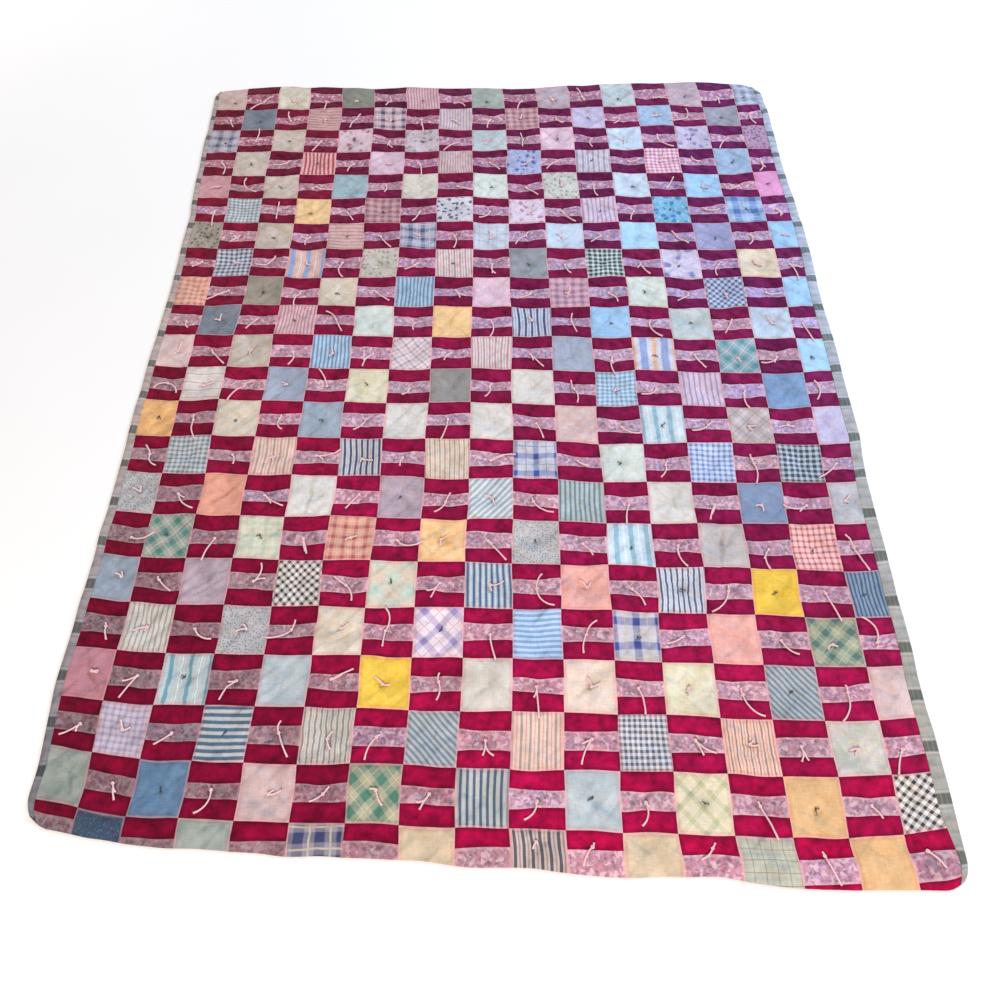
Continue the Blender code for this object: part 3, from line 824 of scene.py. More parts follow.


# Threads, fading, dye bled at the seams, a painted highlight on the ridge beside them and marks round the
# tie, on any of the cottons.
def finishCotton(tree, colour, bleed=1.0, ridgeHighlight=0.34):
    where = addNode(tree, "TexCoord").outputs["Object"]
    place = addNode(tree, "Attribute", attribute_name="place").outputs["Vector"]
    seamGap, tieGap, stain = addNode(tree, "SeparateXYZ", [place]).outputs
    width = 1 / cotton["threadWidth"]
    length = 1 / cotton["threadLength"]
    warpAt = addNode(tree, "VectorMath", [where, (width, length, length)], operation="MULTIPLY")
    weftAt = addNode(tree, "VectorMath", [where, (length, width, length)], operation="MULTIPLY")
    warp = addNode(tree, "TexNoise", {"Vector": warpAt, "Scale": 1.0, "Detail": 1.0})
    weft = addNode(tree, "TexNoise", {"Vector": weftAt, "Scale": 1.0, "Detail": 1.0})
    threads = addNode(tree, "Math", [warp, weft], operation="ADD")
    shade = addNode(tree, "MapRange", [threads, 0.5, 1.5, *cotton["threadShade"]])
    fade = addNode(tree, "TexNoise", {
        "Vector": where, "Scale": 1 / cotton["fadeSize"], "Detail": 3.0, "Roughness": 0.6})
    stripTones = addNode(tree, "MapRange", [fade, 0.3, 0.7, *cotton["fadeShade"]])
    both = addNode(tree, "Math", [shade, stripTones], operation="MULTIPLY")
    colour = addNode(tree, "VectorMath", {0: colour, "Scale": both}, operation="SCALE")
    # dye along the seams, uneven in width, and a painted highlight on the ridge beside them
    stray = addNode(tree, "TexNoise", {"Vector": where, "Scale": cotton["strayScale"], "Detail": 2.0})
    gap = addNode(tree, "Math", [stray, cotton["bleedStray"], seamGap], operation="MULTIPLY_ADD")
    start = cotton["bleedStart"]
    bled = addNode(tree, "MapRange", [gap, start, cotton["bleedWidth"] + start, bleed, 0.0], **gently)
    colour = addNode(tree, "MixRGB", [bled, colour, tone(cotton["bleed"])], blend_type="MULTIPLY")
    highlightMask = addNode(tree, "Math", [stray, cotton["highlightStray"], seamGap], operation="MULTIPLY_ADD")
    highlightMask = addNode(tree, "MapRange", [highlightMask, 0.0, cotton["highlightWidth"], ridgeHighlight, 0.0], **gently)
    ridge = addNode(tree, "Attribute", attribute_name="ridgeHighlight").outputs["Color"]
    colour = addNode(tree, "MixRGB", [highlightMask, colour, ridge])
    # marks round the tie
    reach = cotton["stainReach"]
    spread = addNode(tree, "MapRange", [fade, 0, 1, 0.4 * reach, 1.8 * reach])
    near = addNode(tree, "Math", [tieGap, spread], operation="DIVIDE")
    mark = addNode(tree, "MapRange", [near, 0.2, 1.0, stain, 0.0], **gently)
    colour = addNode(tree, "MixRGB", [mark, colour, tone(cotton["stain"])], blend_type="MULTIPLY")
    nap = addNode(tree, "TexNoise", {"Vector": where, "Scale": cotton["napScale"], "Detail": 2.0})
    height = addNode(tree, "Math", [nap, 0.5, threads], operation="MULTIPLY_ADD")
    creased = None
    for way in cotton["crumpleWays"]:
        along = addNode(tree, "Mapping", [where], vector_type="TEXTURE")
        along.inputs["Rotation"].default_value = (0, 0, way)
        along.inputs["Scale"].default_value = (*cotton["crumple"], 1)
        crease = addNode(tree, "TexNoise", {
            "Vector": along, "Scale": 1.0, "Detail": 0.0, "Distortion": 0.25})
        creased = addNode(tree, "Math", [creased, crease], operation="ADD") if creased else crease
    northing = addNode(tree, "SeparateXYZ", [where]).outputs[1]
    depth = addNode(tree, "MapRange", [northing, -halfLength, halfLength, *cotton["crumpleDepth"]])
    crumple = addNode(tree, "Bump", {"Height": creased, "Strength": 1.0, "Distance": depth})
    bump = addNode(tree, "Bump", {
        "Height": height, "Strength": 0.7, "Distance": cotton["threadDepth"], "Normal": crumple})
    matt = cotton["roughness"]
    rough = addNode(tree, "MapRange", [threads, 0.5, 1.5, matt - 0.08, matt + 0.08])
    surface = addNode(tree, "BsdfPrincipled", {
        "Base Color": colour, "Roughness": rough, "Normal": bump, "IOR": cotton["ior"],
        "Specular IOR Level": cotton["specular"], "Sheen Weight": cotton["sheen"],
        "Sheen Roughness": cotton["sheenRoughness"]})
    addNode(tree, "OutputMaterial", {"Surface": surface})


# The cloth's own coordinates in repeats, strayed by its waver, and how far each is from a repeat's middle
def clothPattern(tree):
    where = addNode(tree, "TexCoord").outputs["Object"]
    pattern = addNode(tree, "Attribute", attribute_name="pattern").outputs["Vector"]
    weave = addNode(tree, "Attribute", attribute_name="weave").outputs["Vector"]
    weave = addNode(tree, "SeparateXYZ", [weave])
    noise = addNode(tree, "TexNoise", {"Vector": where, "Scale": weaveLook["strayScale"], "Detail": 1.0})
    noise = noise.outputs["Color"]
    centred = addNode(tree, "VectorMath", [noise, (0.5, 0.5, 0.5)], operation="SUBTRACT")
    reach = addNode(tree, "Math", [weave.outputs[2], weaveLook["strayMore"], weaveLook["stray"]],
                    operation="MULTIPLY_ADD")
    stray = addNode(tree, "VectorMath", {0: centred, "Scale": reach}, operation="SCALE")
    moved = addNode(tree, "VectorMath", [pattern, stray], operation="ADD")
    part = addNode(tree, "VectorMath", [moved], operation="FRACTION")
    middle = addNode(tree, "VectorMath", [part, (0.5, 0.5, 0.5)], operation="SUBTRACT")
    gap = addNode(tree, "SeparateXYZ", [addNode(tree, "VectorMath", [middle], operation="ABSOLUTE")])
    return moved, gap, weave


# Masks for the wide bands and the thin lines of a repeat. way is 0 for warp and 1 for weft.
def bandsAndLines(tree, gap, weave, way):
    soft = weaveLook["bandSoft"]
    half = addNode(tree, "Math", [weave.outputs[0], 0.5], operation="MULTIPLY")
    outer = addNode(tree, "Math", [half, soft], operation="ADD")
    inner = addNode(tree, "Math", [half, soft], operation="SUBTRACT")
    band = addNode(tree, "MapRange", [gap.outputs[way], inner, outer, 1.0, 0.0], **gently)
    start = addNode(tree, "Math", [weave.outputs[1], -0.5, 0.5], operation="MULTIPLY_ADD")
    end = addNode(tree, "Math", [start, weaveLook["lineSoft"]], operation="ADD")
    line = addNode(tree, "MapRange", [gap.outputs[way], start, end], **gently)
    return band, line


def threeColours(tree):
    found = [addNode(tree, "Attribute", attribute_name=name) for name in ("ground", "band", "line")]
    return [attribute.outputs["Color"] for attribute in found]


# plain quilting cotton: dyed in the piece, so one colour that washing has left cloudy
plainCotton, tree = newMaterial("Plain woven cotton")
ground, band, line = threeColours(tree)
where = addNode(tree, "TexCoord").outputs["Object"]
cloud = addNode(tree, "TexNoise", {"Vector": where, "Scale": 32.0, "Detail": 4.0, "Roughness": 0.65})
cloudy = addNode(tree, "MapRange", [cloud, 0.35, 0.7])
finishCotton(tree, addNode(tree, "MixRGB", [cloudy, ground, band]))

# shirting: the stripes are dyed yarns, so they are soft at their sides and run straight with the thread
stripedCotton, tree = newMaterial("Yarn-dyed striped cotton")
ground, band, line = threeColours(tree)
moved, gap, weave = clothPattern(tree)
bandMask, lineMask = bandsAndLines(tree, gap, weave, 0)
pinsAt, pinWidth, strength = weaveLook["pins"]
pins = addNode(tree, "Math", [gap.outputs[0], pinsAt, pinWidth], operation="COMPARE")
pins = addNode(tree, "Math", [pins, strength], operation="MULTIPLY")
colour = addNode(tree, "MixRGB", [bandMask, ground, band])
colour = addNode(tree, "MixRGB", [lineMask, colour, line])
finishCotton(tree, addNode(tree, "MixRGB", [pins, colour, line]))

# gingham and plaid: bands of dyed warp and weft, half strength where only one of them is coloured
checkedCotton, tree = newMaterial("Yarn-dyed checked cotton")
ground, band, line = threeColours(tree)
moved, gap, weave = clothPattern(tree)
warpBand, warpLine = bandsAndLines(tree, gap, weave, 0)
weftBand, weftLine = bandsAndLines(tree, gap, weave, 1)
both = addNode(tree, "Math", [warpBand, weftBand], operation="ADD")
bandMask = addNode(tree, "Math", [both, 0.5], operation="MULTIPLY")
both = addNode(tree, "Math", [warpLine, weftLine], operation="ADD", use_clamp=True)
lineMask = addNode(tree, "Math", [both, 0.75], operation="MULTIPLY")
colour = addNode(tree, "MixRGB", [bandMask, ground, band])
finishCotton(tree, addNode(tree, "MixRGB", [lineMask, colour, line]))

# dress print: small sprigs printed on the face, a blossom to each repeat with leaves between
printedCotton, tree = newMaterial("Printed cotton")
ground, band, line = threeColours(tree)
moved, gap, weave = clothPattern(tree)
blossom = addNode(tree, "TexVoronoi", {"Vector": moved, "Scale": 1.0, "Randomness": 0.75})
petals = addNode(tree, "TexNoise", {"Vector": moved, "Scale": 3.2, "Detail": 1.0})
ragged = addNode(tree, "Math", [petals, 0.5, blossom.outputs["Distance"]], operation="MULTIPLY_ADD")
flower = addNode(tree, "MapRange", [ragged, 0.48, 0.62, 1.0, 0.0])
leaves = addNode(tree, "TexVoronoi", {"Vector": moved, "Scale": 2.1, "Randomness": 1.0})
leaf = addNode(tree, "MapRange", [leaves.outputs["Distance"], 0.16, 0.3, 0.75, 0.0])
colour = addNode(tree, "MixRGB", [leaf, ground, line])
finishCotton(tree, addNode(tree, "MixRGB", [flower, colour, band]))

# rail cloth, dark: a close-woven maroon broadcloth, its dye a little uneven
maroonCotton, tree = newMaterial("Maroon cotton broadcloth")
ground = addNode(tree, "Attribute", attribute_name="ground").outputs["Color"]
where = addNode(tree, "TexCoord").outputs["Object"]
cloud = addNode(tree, "TexNoise", {"Vector": where, "Scale": 45.0, "Detail": 4.0, "Roughness": 0.6})
cloudy = addNode(tree, "MapRange", [cloud, 0.3, 0.7, 0.58, 1.50])
place = addNode(tree, "Attribute", attribute_name="place").outputs["Vector"]
seamGap = addNode(tree, "SeparateXYZ", [place]).outputs[0]
seamShade = addNode(tree, "MapRange", [seamGap, 0.0, 0.010, 0.60, 1.0], **gently)  # painted shade: the maroon darkens towards its seams
shade = addNode(tree, "Math", [cloudy, seamShade], operation="MULTIPLY")
colour = addNode(tree, "VectorMath", {0: ground, "Scale": shade}, operation="SCALE")
finishCotton(tree, colour, bleed=0.0, ridgeHighlight=0.0)

# rail cloth, light: a close allover print of tiny flowers, which from a step away is a mottled pink
railPrint = {
    "flower": 0.0080,  # half as big again as the real ones, to be seen from the camera
    "sprays": 0.019,  # and the sprays they stand in
    "leaf": "#928a90",
}
printCotton, tree = newMaterial("Pink flowered cotton print")
ground, rose, petal = threeColours(tree)
pattern = addNode(tree, "Attribute", attribute_name="pattern").outputs["Vector"]
flowers = addNode(tree, "TexNoise", {
    "Vector": pattern, "Scale": 1 / railPrint["flower"], "Detail": 2.0, "Distortion": 0.3})
shade = addNode(tree, "MapRange", [flowers, 0.34, 0.66, 0.52, 1.44])
colour = addNode(tree, "VectorMath", {0: ground, "Scale": shade}, operation="SCALE")
sprays = addNode(tree, "TexNoise", {"Vector": pattern, "Scale": 1 / railPrint["sprays"], "Detail": 1.0})
sprayed = addNode(tree, "MapRange", [sprays, 0.35, 0.65, 0.0, 0.5])
colour = addNode(tree, "MixRGB", [sprayed, colour, rose])
for offset, spotColour, most in ((3.7, tone(railPrint["leaf"]), 0.5), (8.1, petal, 0.75)):
    moved = addNode(tree, "VectorMath", [pattern, (offset, offset, 0.0)], operation="ADD")
    spots = addNode(tree, "TexNoise", {
        "Vector": moved, "Scale": 0.8 / railPrint["flower"], "Detail": 1.0, "Distortion": 0.5})
    mask = addNode(tree, "MapRange", [spots, 0.53, 0.64, 0, most])
    colour = addNode(tree, "MixRGB", [mask, colour, spotColour])
finishCotton(tree, colour, bleed=0.3, ridgeHighlight=0.3)
print("cloth materials made")


# Patchwork

fabrics = {
    "plain": ("plainSquares", plainCotton),
    "striped": ("stripedSquares", stripedCotton),
    "checked": ("checkedSquares", checkedCotton),
    "printed": ("printedSquares", printedCotton),
    "maroon": ("maroonBars", maroonCotton),
    "rail": ("flowerBars", printCotton),
}


# The level direction straight out from the head or foot edge.
def outwardAt(u, v, towardsFoot):
    step = 0.05  # of a block
    x0, y0 = lie(np.clip(u - step, leftEdge, rightEdge), v)
    x1, y1 = lie(np.clip(u + step, leftEdge, rightEdge), v)
    length = np.hypot(x1 - x0, y1 - y0)
    way = np.where(towardsFoot, 1, -1)
    return way * (y1 - y0) / length, -way * (x1 - x0) / length


def sewPatches(kind):
    name, material = fabrics[kind]
    found = patches[kind]
    starts = np.cumsum([0] + [len(p["u"]) for p in found[:-1]])
    corners = np.concatenate([p["corners"] + s for p, s in zip(found, starts)])
    joined = {key: np.concatenate([p[key] for p in found]) for key in found[0] if key != "corners"}
    u = joined["u"]
    v = joined["v"]
    x, y = lie(u, v)
    z = faceHeight(u, v, joined["barGap"])
    rim = joined["out"] != 0
    outX, outY = outwardAt(u[rim], v[rim], joined["out"][rim] < 0)
    x[rim] += outX * np.abs(joined["out"][rim])
    y[rim] += outY * np.abs(joined["out"][rim])
    z[rim] = joined["height"][rim]
    keys = ("pattern", "place", "weave", "ground", "band", "line", "ridgeHighlight")
    return buildMesh(name, np.stack([x, y, z], 1), corners, material, {key: joined[key] for key in keys})


for kind in fabrics:
    piece = sewPatches(kind)
    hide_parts("quilt_body")
    print("sewn:", piece.name, len(piece.data.polygons), "faces")


# Backing

backing = {
    "steps": 6,  # mesh lines to a block
    "inset": 0.0006,  # its turned-in edge sits this far inside the patchwork's
    "ground": "#d9d0bf",
    "slub": "#c3b8a4",
    "husk": "#8a7558",
    "clearOfBinding": (0.00145, 0.020, 0.012),  # how high, how far in from the side, over what distance
    "tied": (0.0012, 0.012, 0.03),  # how far a tie lifts it, how far round, how far from the sides
    "wallTop": 0.0024,
    "wallGap": 0.0002,  # how far its sides stop under the patchwork's
}
backingCotton, tree = newMaterial("Unbleached muslin")  # plain weave with flecks of seed husk left in
where = addNode(tree, "TexCoord").outputs["Object"]
slub = addNode(tree, "VectorMath", [where, (90.0, 900.0, 90.0)], operation="MULTIPLY")
slubs = addNode(tree, "TexNoise", {"Vector": slub, "Scale": 1.0, "Detail": 3.0})
colour = addNode(tree, "MixRGB", [slubs, tone(backing["ground"]), tone(backing["slub"])])
husks = addNode(tree, "TexVoronoi", {"Vector": where, "Scale": 70.0})
fleck = addNode(tree, "MapRange", [husks.outputs["Distance"], 0.04, 0.08, 0.5, 0.0])
colour = addNode(tree, "MixRGB", [fleck, colour, tone(backing["husk"])])
rough = addNode(tree, "MapRange", [slubs, 0, 1, 0.8, 0.95])
bump = addNode(tree, "Bump", {"Height": slubs, "Strength": 0.5, "Distance": 0.0002})
surface = addNode(tree, "BsdfPrincipled", {
    "Base Color": colour, "Roughness": rough, "Normal": bump, "IOR": cotton["ior"]})
addNode(tree, "OutputMaterial", {"Surface": surface})


def makeBacking():
    across = np.clip(np.arange(0, columns * backing["steps"] + 1) / backing["steps"], leftEdge, rightEdge)
    share = np.linspace(0, 1, rows * backing["steps"] + 1)
    u, share = np.meshgrid(across, share)
    v = headLine(u) + (footLine(u) - headLine(u)) * share
    x, y = lie(u, v)
    toSide = np.minimum(u - leftEdge, rightEdge - u) * block
    lift, inFrom, over = backing["clearOfBinding"]
    lifted = lift * (1 - smooth((toSide - inFrom) / over))
    right, down, _, _ = fromTie(u, v)
    lift, reach, clear = backing["tied"]
    tied = lift * np.exp(-(np.hypot(right, down) * block / 2 / reach) ** 2)
    z = lifted + tied * smooth((toSide - clear) / clear)
    points = np.stack([x, y, z], -1)
    # walls up to the patchwork's edge
    middle = points.mean((0, 1))
    pulled = points + (middle - points) * np.array([1, 1, 0]) * backing["inset"]
    pulled[..., 2] = np.where(toSide < 1e-9, loft["side"] - backing["wallGap"], backing["wallTop"])
    lines, width = u.shape
    rim = [(0, i) for i in range(width)] + [(j, width - 1) for j in range(1, lines)]
    rim += [(lines - 1, i) for i in range(width - 2, -1, -1)] + [(j, 0) for j in range(lines - 2, 0, -1)]
    upper = np.array([pulled[j, i] for j, i in rim])
    lower = np.array([j * width + i for j, i in rim])
    numbers = lines * width + np.arange(len(rim))
    grid = gridCorners(lines, width)[:, ::-1]  # faces down
    wall = np.stack([lower, np.roll(lower, -1), np.roll(numbers, -1), numbers], 1)
    allPoints = np.vstack([points.reshape(-1, 3), upper])
    return buildMesh("quiltBacking", allPoints, np.vstack([grid, wall[:, ::-1]]), backingCotton)


backingPiece = makeBacking()
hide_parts("quilt_body")
print("backing laid")


# Bindings

binding = {
    "leftReach": 0.0165,  # how far it shows on the face
    "rightReach": 0.0225,
    "steps": 14,  # mesh lines to a block
    "repeat": 0.097,  # of its plaid, lengthwise
    # its colour at so many blocks from the head: the left one is painted darker towards the foot as shade,
    # most in the dim corner; the right one is blue at the head and greyer below
    "stripTones": {"left": ((0, "#c5b9ba"), (9, "#d7c3c2"), (13, "#cdbebb"), (17, "#b8aeb4"), (20.5, "#8e8b92")),
              "right": ((0, "#c9d3ec"), (8, "#c9d3ea"), (12, "#c9cdd8"), (18, "#c5c3be"))},
    "pale": "#dcdcd8",
    "white": "#f0f0ee",
    "dark": "#868c85",
    "grey": "#c6c8c4",
    # its plaid along the strip
    "plaid": ((0.0, "pale"), (0.10, "grey"), (0.13, "pale"), (0.28, "pale"), (0.31, "grey"),
              (0.36, "white"), (0.40, "dark"), (0.59, "dark"), (0.63, "white"), (0.68, "grey"),
              (0.72, "pale"), (0.88, "grey"), (0.92, "pale")),
    "pinstripe": 0.0085,  # the thin white stripes along it are this far apart
    # what share of its width shows at so many blocks from the head
    "widths": {"left": ((0, 0.6), (9, 1.0), (17, 1.0), (22, 0.7)),
               "right": ((0, 0.8), (9, 1.0), (20.6, 1.0), (21.5, 0.45))},
    "ripple": 0.0008,  # slack between stitches: how high, and how long its two sets of ripples are
    "rippleSizes": (0.009, 0.004),
    "rippleFade": (0.0015, 0.004, 0.003),  # it fades down the fold and near the outer and inner edges
}


def makeBinding(name, edge, outwards, reach, material):
    top = loft["side"]
    # its section as distance in from the edge and height: round the outer side of the fold, then the inner
    outer = [(reach, top + 0.0001), (reach - 0.0002, top + 0.0008), (reach - 0.0010, top + 0.0013),
             (reach - 0.0022, top + 0.0011), (reach - 0.0030, top + 0.0008), (reach - 0.0040, top + 0.0012),
             (reach * 0.66, top + 0.0019), (reach * 0.42, top + 0.0022), (reach * 0.2, top + 0.0019),
             (0.0012, top + 0.0014), (-0.0004, top + 0.0008), (-0.0018, top - 0.0001),
             (-0.0025, top - 0.0012), (-0.0025, top - 0.0022), (-0.0018, top - 0.0033), (-0.0004, 0.0003),
             (0.0020, 0.00015), (reach * 0.5, 0.00015), (reach - 0.0010, 0.00018), (reach, 0.0004)]
    inner = [(reach, 0.0011), (reach * 0.5, 0.0011), (0.0010, 0.0012), (-0.0008, 0.0018),
             (-0.0014, 0.0027), (-0.0008, 0.0037), (0.0010, top + 0.0002), (reach * 0.5, top + 0.0003),
             (reach - 0.001, top + 0.00025)]
    section = np.array(outer + inner)
    count = int((footLine(edge) - headLine(edge)) * binding["steps"])
    v = np.linspace(headLine(edge), footLine(edge), count)
    inwards, v = np.meshgrid(section[:, 0], v)
    height = np.tile(section[:, 1], (count, 1))
    step = 0.05  # of a block
    x0, y0 = lie(edge, np.clip(v - step, headLine(edge), footLine(edge)))
    x1, y1 = lie(edge, np.clip(v + step, headLine(edge), footLine(edge)))
    length = np.hypot(x1 - x0, y1 - y0)
    side = "left" if outwards < 0 else "right"
    places, widths = zip(*binding["widths"][side])
    narrowed = np.maximum(inwards, 0) * np.interp(v, places, widths)
    x, y = lie(edge - outwards * narrowed / block, v)
    beyond = np.minimum(inwards, 0)
    x = x - outwards * (y0 - y1) / length * beyond
    y = y - outwards * (x1 - x0) / length * beyond
    # slack in the cloth between stitches: slanting ripples on the face side only
    down, outerFade, innerFade = binding["rippleFade"]
    raised = np.clip((height - top) / down, 0, 1) * smooth(inwards / outerFade)
    raised = raised * smooth((reach - inwards) / innerFade)
    size, smaller = binding["rippleSizes"]
    waves = ripple(v * block + inwards * 0.8, inwards * 0.3, size, seed=61)
    waves = waves + 0.5 * ripple(v * block - inwards, inwards, smaller, seed=62)
    height = height + binding["ripple"] * waves * raised
    points = np.stack([x, y, height], -1).reshape(-1, 3)
    width = len(section)
    corners = gridCorners(count, width, closed=True)
    if outwards > 0:
        corners = corners[:, ::-1]
    # the fold's two ends are closed with a strip from the outer side to the inner one
    caps = []
    for j, flip in ((0, outwards > 0), (count - 1, outwards < 0)):
        a = j * width + np.linspace(0, len(outer) - 1, len(inner)).round().astype(int)
        b = j * width + len(outer) + np.arange(len(inner))[::-1]
        strip = np.stack([a[:-1], a[1:], b[1:], b[:-1]], 1)
        caps.append(strip[:, ::-1] if flip else strip)
    pattern = np.stack([v * block, inwards, np.full_like(v, reach)], -1).reshape(-1, 3)
    places, colours = zip(*binding["stripTones"][side])
    ground = np.stack([np.interp(v.ravel(), places, channel) for channel in zip(*map(tone, colours))], 1)
    carried = {"pattern": pattern, "ground": ground}
    return buildMesh(name, points, np.vstack([corners] + caps), material, carried)


# plaid shirting cut in a strip: dark squares where warp and weft bands cross, thin stripes beside them
bindingCotton, tree = newMaterial("Plaid cotton shirting")
pattern = addNode(tree, "Attribute", attribute_name="pattern").outputs["Vector"]
alongStrip, acrossStrip, _ = addNode(tree, "SeparateXYZ", [pattern]).outputs
where = addNode(tree, "TexCoord").outputs["Object"]
wander = addNode(tree, "TexNoise", {"Vector": where, "Scale": 30.0, "Detail": 1.0})
along = addNode(tree, "Math", [alongStrip, 1 / binding["repeat"]], operation="MULTIPLY")
along = addNode(tree, "Math", [wander, 0.06, along], operation="MULTIPLY_ADD")
along = addNode(tree, "Math", [along], operation="FRACT")
ramp = addNode(tree, "ValToRGB", [along])
stops = ramp.color_ramp.elements
for step, (position, key) in enumerate(binding["plaid"]):
    stop = stops[step] if step < 2 else stops.new(position)
    stop.position = position
    stop.color = tone(binding[key])
across = addNode(tree, "Math", [acrossStrip, 1 / binding["pinstripe"]], operation="MULTIPLY")
across = addNode(tree, "Math", [across], operation="FRACT")
line = addNode(tree, "MapRange", [across, 0.7, 0.8, 0.0, 0.16], **gently)
colour = addNode(tree, "MixRGB", [line, ramp, tone(binding["white"])])
# the strip's colour along its length, with the left one's painted shade
ground = addNode(tree, "Attribute", attribute_name="ground").outputs["Color"]
colour = addNode(tree, "VectorMath", [colour, ground], operation="MULTIPLY")
finishCotton(tree, colour, bleed=0.0, ridgeHighlight=0.0)

for name, edge, outwards, reach, node in (
        ("leftBinding", leftEdge, -1, binding["leftReach"], "binding_left"),
        ("rightBinding", rightEdge, 1, binding["rightReach"], "binding_right")):
    piece = makeBinding(name, edge, outwards, reach, bindingCotton)
    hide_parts(node)
print("bindings sewn on")


# Ties: a length of string through all the layers in the middle of each block, knotted on the face

ties = {
    # tails: each of the two is at least so long, and up to so much longer
    "pale": {"radius": 0.0016, "colour": "#f2d0d1", "shade": "#dfb0b7",
             "tails": ((0.010, 0.020), (0.008, 0.012))},
    "dark": {"radius": 0.0009, "colour": "#3d4744", "shade": "#23292b",
             "tails": ((0.003, 0.007), (0.003, 0.006))},
    "railTails": ((0.026, 0.036), (0.006, 0.034)),
    "hanging": (0.8, 1.9),  # the share that hang towards the foot, and how widely they fan, in radians
    "together": (0.7, 0.6),  # the share whose two tails lie together, and how widely
    "curl": (3.2, 2.0),
    "frayed": (1.25, 1.1),  # how much thicker a tail is at its cut end, and just before it
    "knot": 0.0024,
    "knotTurns": 1.5,
    "knotPoints": 11,
    "knotTaper": 0.2,  # how much narrower it is at the top
    "knotHeight": (0.0006, 0.0022),
    "rise": (0.0018, 0.006),  # how high a tail leaves the knot, and how soon it comes down
    "arch": 0.0012,
    "margin": 0.02,  # tails keep this far from the edges, in blocks
    "points": 8,
    "sides": 8,
    "twist": 0.0055,  # the string's two strands go once round in this length
    # the share of squares with a dark thread tie at so many rows from the head, and with a string tie
    "darkShare": ((0, 0.58), (8, 0.34), (21, 0.24)),
    "paleShare": 0.4,
    "untied": 9,  # the blocks cut short at the foot's left have none
}
darkShare = np.interp(np.arange(rows), *zip(*ties["darkShare"]))


# Points along a tie: in along one tail, round the knot, and out along the other.
def tieLine(column, row, radius, tails):
    u, v = tiePlace(column, row)
    count = ties["points"]
    rise, settle = ties["rise"]
    runs = []
    for length, heading, curl in tails:
        share = np.linspace(0, 1, count)
        way = heading + curl * share
        step = length / (count - 1)
        dx = np.concatenate([[0], np.cumsum(np.cos(way[:-1]) * step)])
        dy = np.concatenate([[0], np.cumsum(np.sin(way[:-1]) * step)])
        lift = radius + rise * np.exp(-share * length / settle) + ties["arch"] * np.sin(np.pi * share) ** 2
        runs.append((dx, dy, lift))
    turn = np.linspace(0, 2 * np.pi * ties["knotTurns"], ties["knotPoints"])
    knot = ties["knot"] * radius / ties["pale"]["radius"]
    start = tails[0][1]
    taper = 1 - ties["knotTaper"] * turn / turn[-1]
    knotX = knot * np.cos(start + turn) * taper
    knotY = knot * np.sin(start + turn) * taper
    low, climb = ties["knotHeight"]
    knotZ = radius + low + climb * turn / turn[-1]
    away = (runs[0][0][::-1][:-1] + knotX[0], runs[0][1][::-1][:-1] + knotY[0], runs[0][2][::-1][:-1])
    back = (runs[1][0][1:] + knotX[-1], runs[1][1][1:] + knotY[-1], runs[1][2][1:])
    dx, dy, lift = [np.concatenate(parts) for parts in zip(away, (knotX, knotY, knotZ), back)]
    margin = ties["margin"]
    placeU = np.clip(u + dx / block, leftEdge + margin, rightEdge - margin)
    placeV = np.clip(v - dy / block, headLine(placeU) + margin, footLine(placeU) - margin)
    x, y = lie(placeU, placeV)
    return np.stack([x, y, faceHeight(placeU, placeV) + lift], -1)


def makeTies(name, lines, radius, material):
    lines = np.array(lines)
    count, length, _ = lines.shape
    sides = ties["sides"]
    along = np.gradient(lines, axis=1)
    along /= np.linalg.norm(along, axis=2, keepdims=True) + 1e-12
    side = np.cross(np.array([0, 0, 1.0]), along)
    side /= np.linalg.norm(side, axis=2, keepdims=True) + 1e-12
    up = np.cross(along, side)
    turn = np.linspace(0, 2 * np.pi, sides, endpoint=False)
    size = np.full(length, radius)
    size[[0, -1]] *= ties["frayed"][0]
    size[[1, -2]] *= ties["frayed"][1]
    cosine, sine = [wave(turn)[None, None, :, None] for wave in (np.cos, np.sin)]
    ring = cosine * side[:, :, None] + sine * up[:, :, None]
    points = lines[:, :, None] + ring * size[None, :, None, None]
    steps = np.linalg.norm(np.diff(lines, axis=1), axis=2)
    travelled = np.concatenate([np.zeros((count, 1)), np.cumsum(steps, 1)], 1)
    strand = np.zeros((count, length, sides, 3))
    strand[..., 0] = travelled[:, :, None]
    strand[..., 1] = (turn / (2 * np.pi))[None, None, :]
    corners = gridCorners(length, sides, closed=True)
    ends = []
    for j in (0, length - 1):
        ring = j * sides + np.arange(sides)
        ends.append([ring[[0, k, k + 1, (k + 2) % sides]] for k in range(1, sides - 2, 2)])
    ends = [ends[0], [face[::-1] for face in ends[1]]]
    corners = np.vstack([corners[:, ::-1]] + [np.array(faces)[:, ::-1] for faces in ends])
    shift = (np.arange(count) * length * sides)[:, None, None]
    corners = (corners[None] + shift).reshape(-1, 4)
    return buildMesh(name, points.reshape(-1, 3), corners, material, {"strand": strand.reshape(-1, 3)})


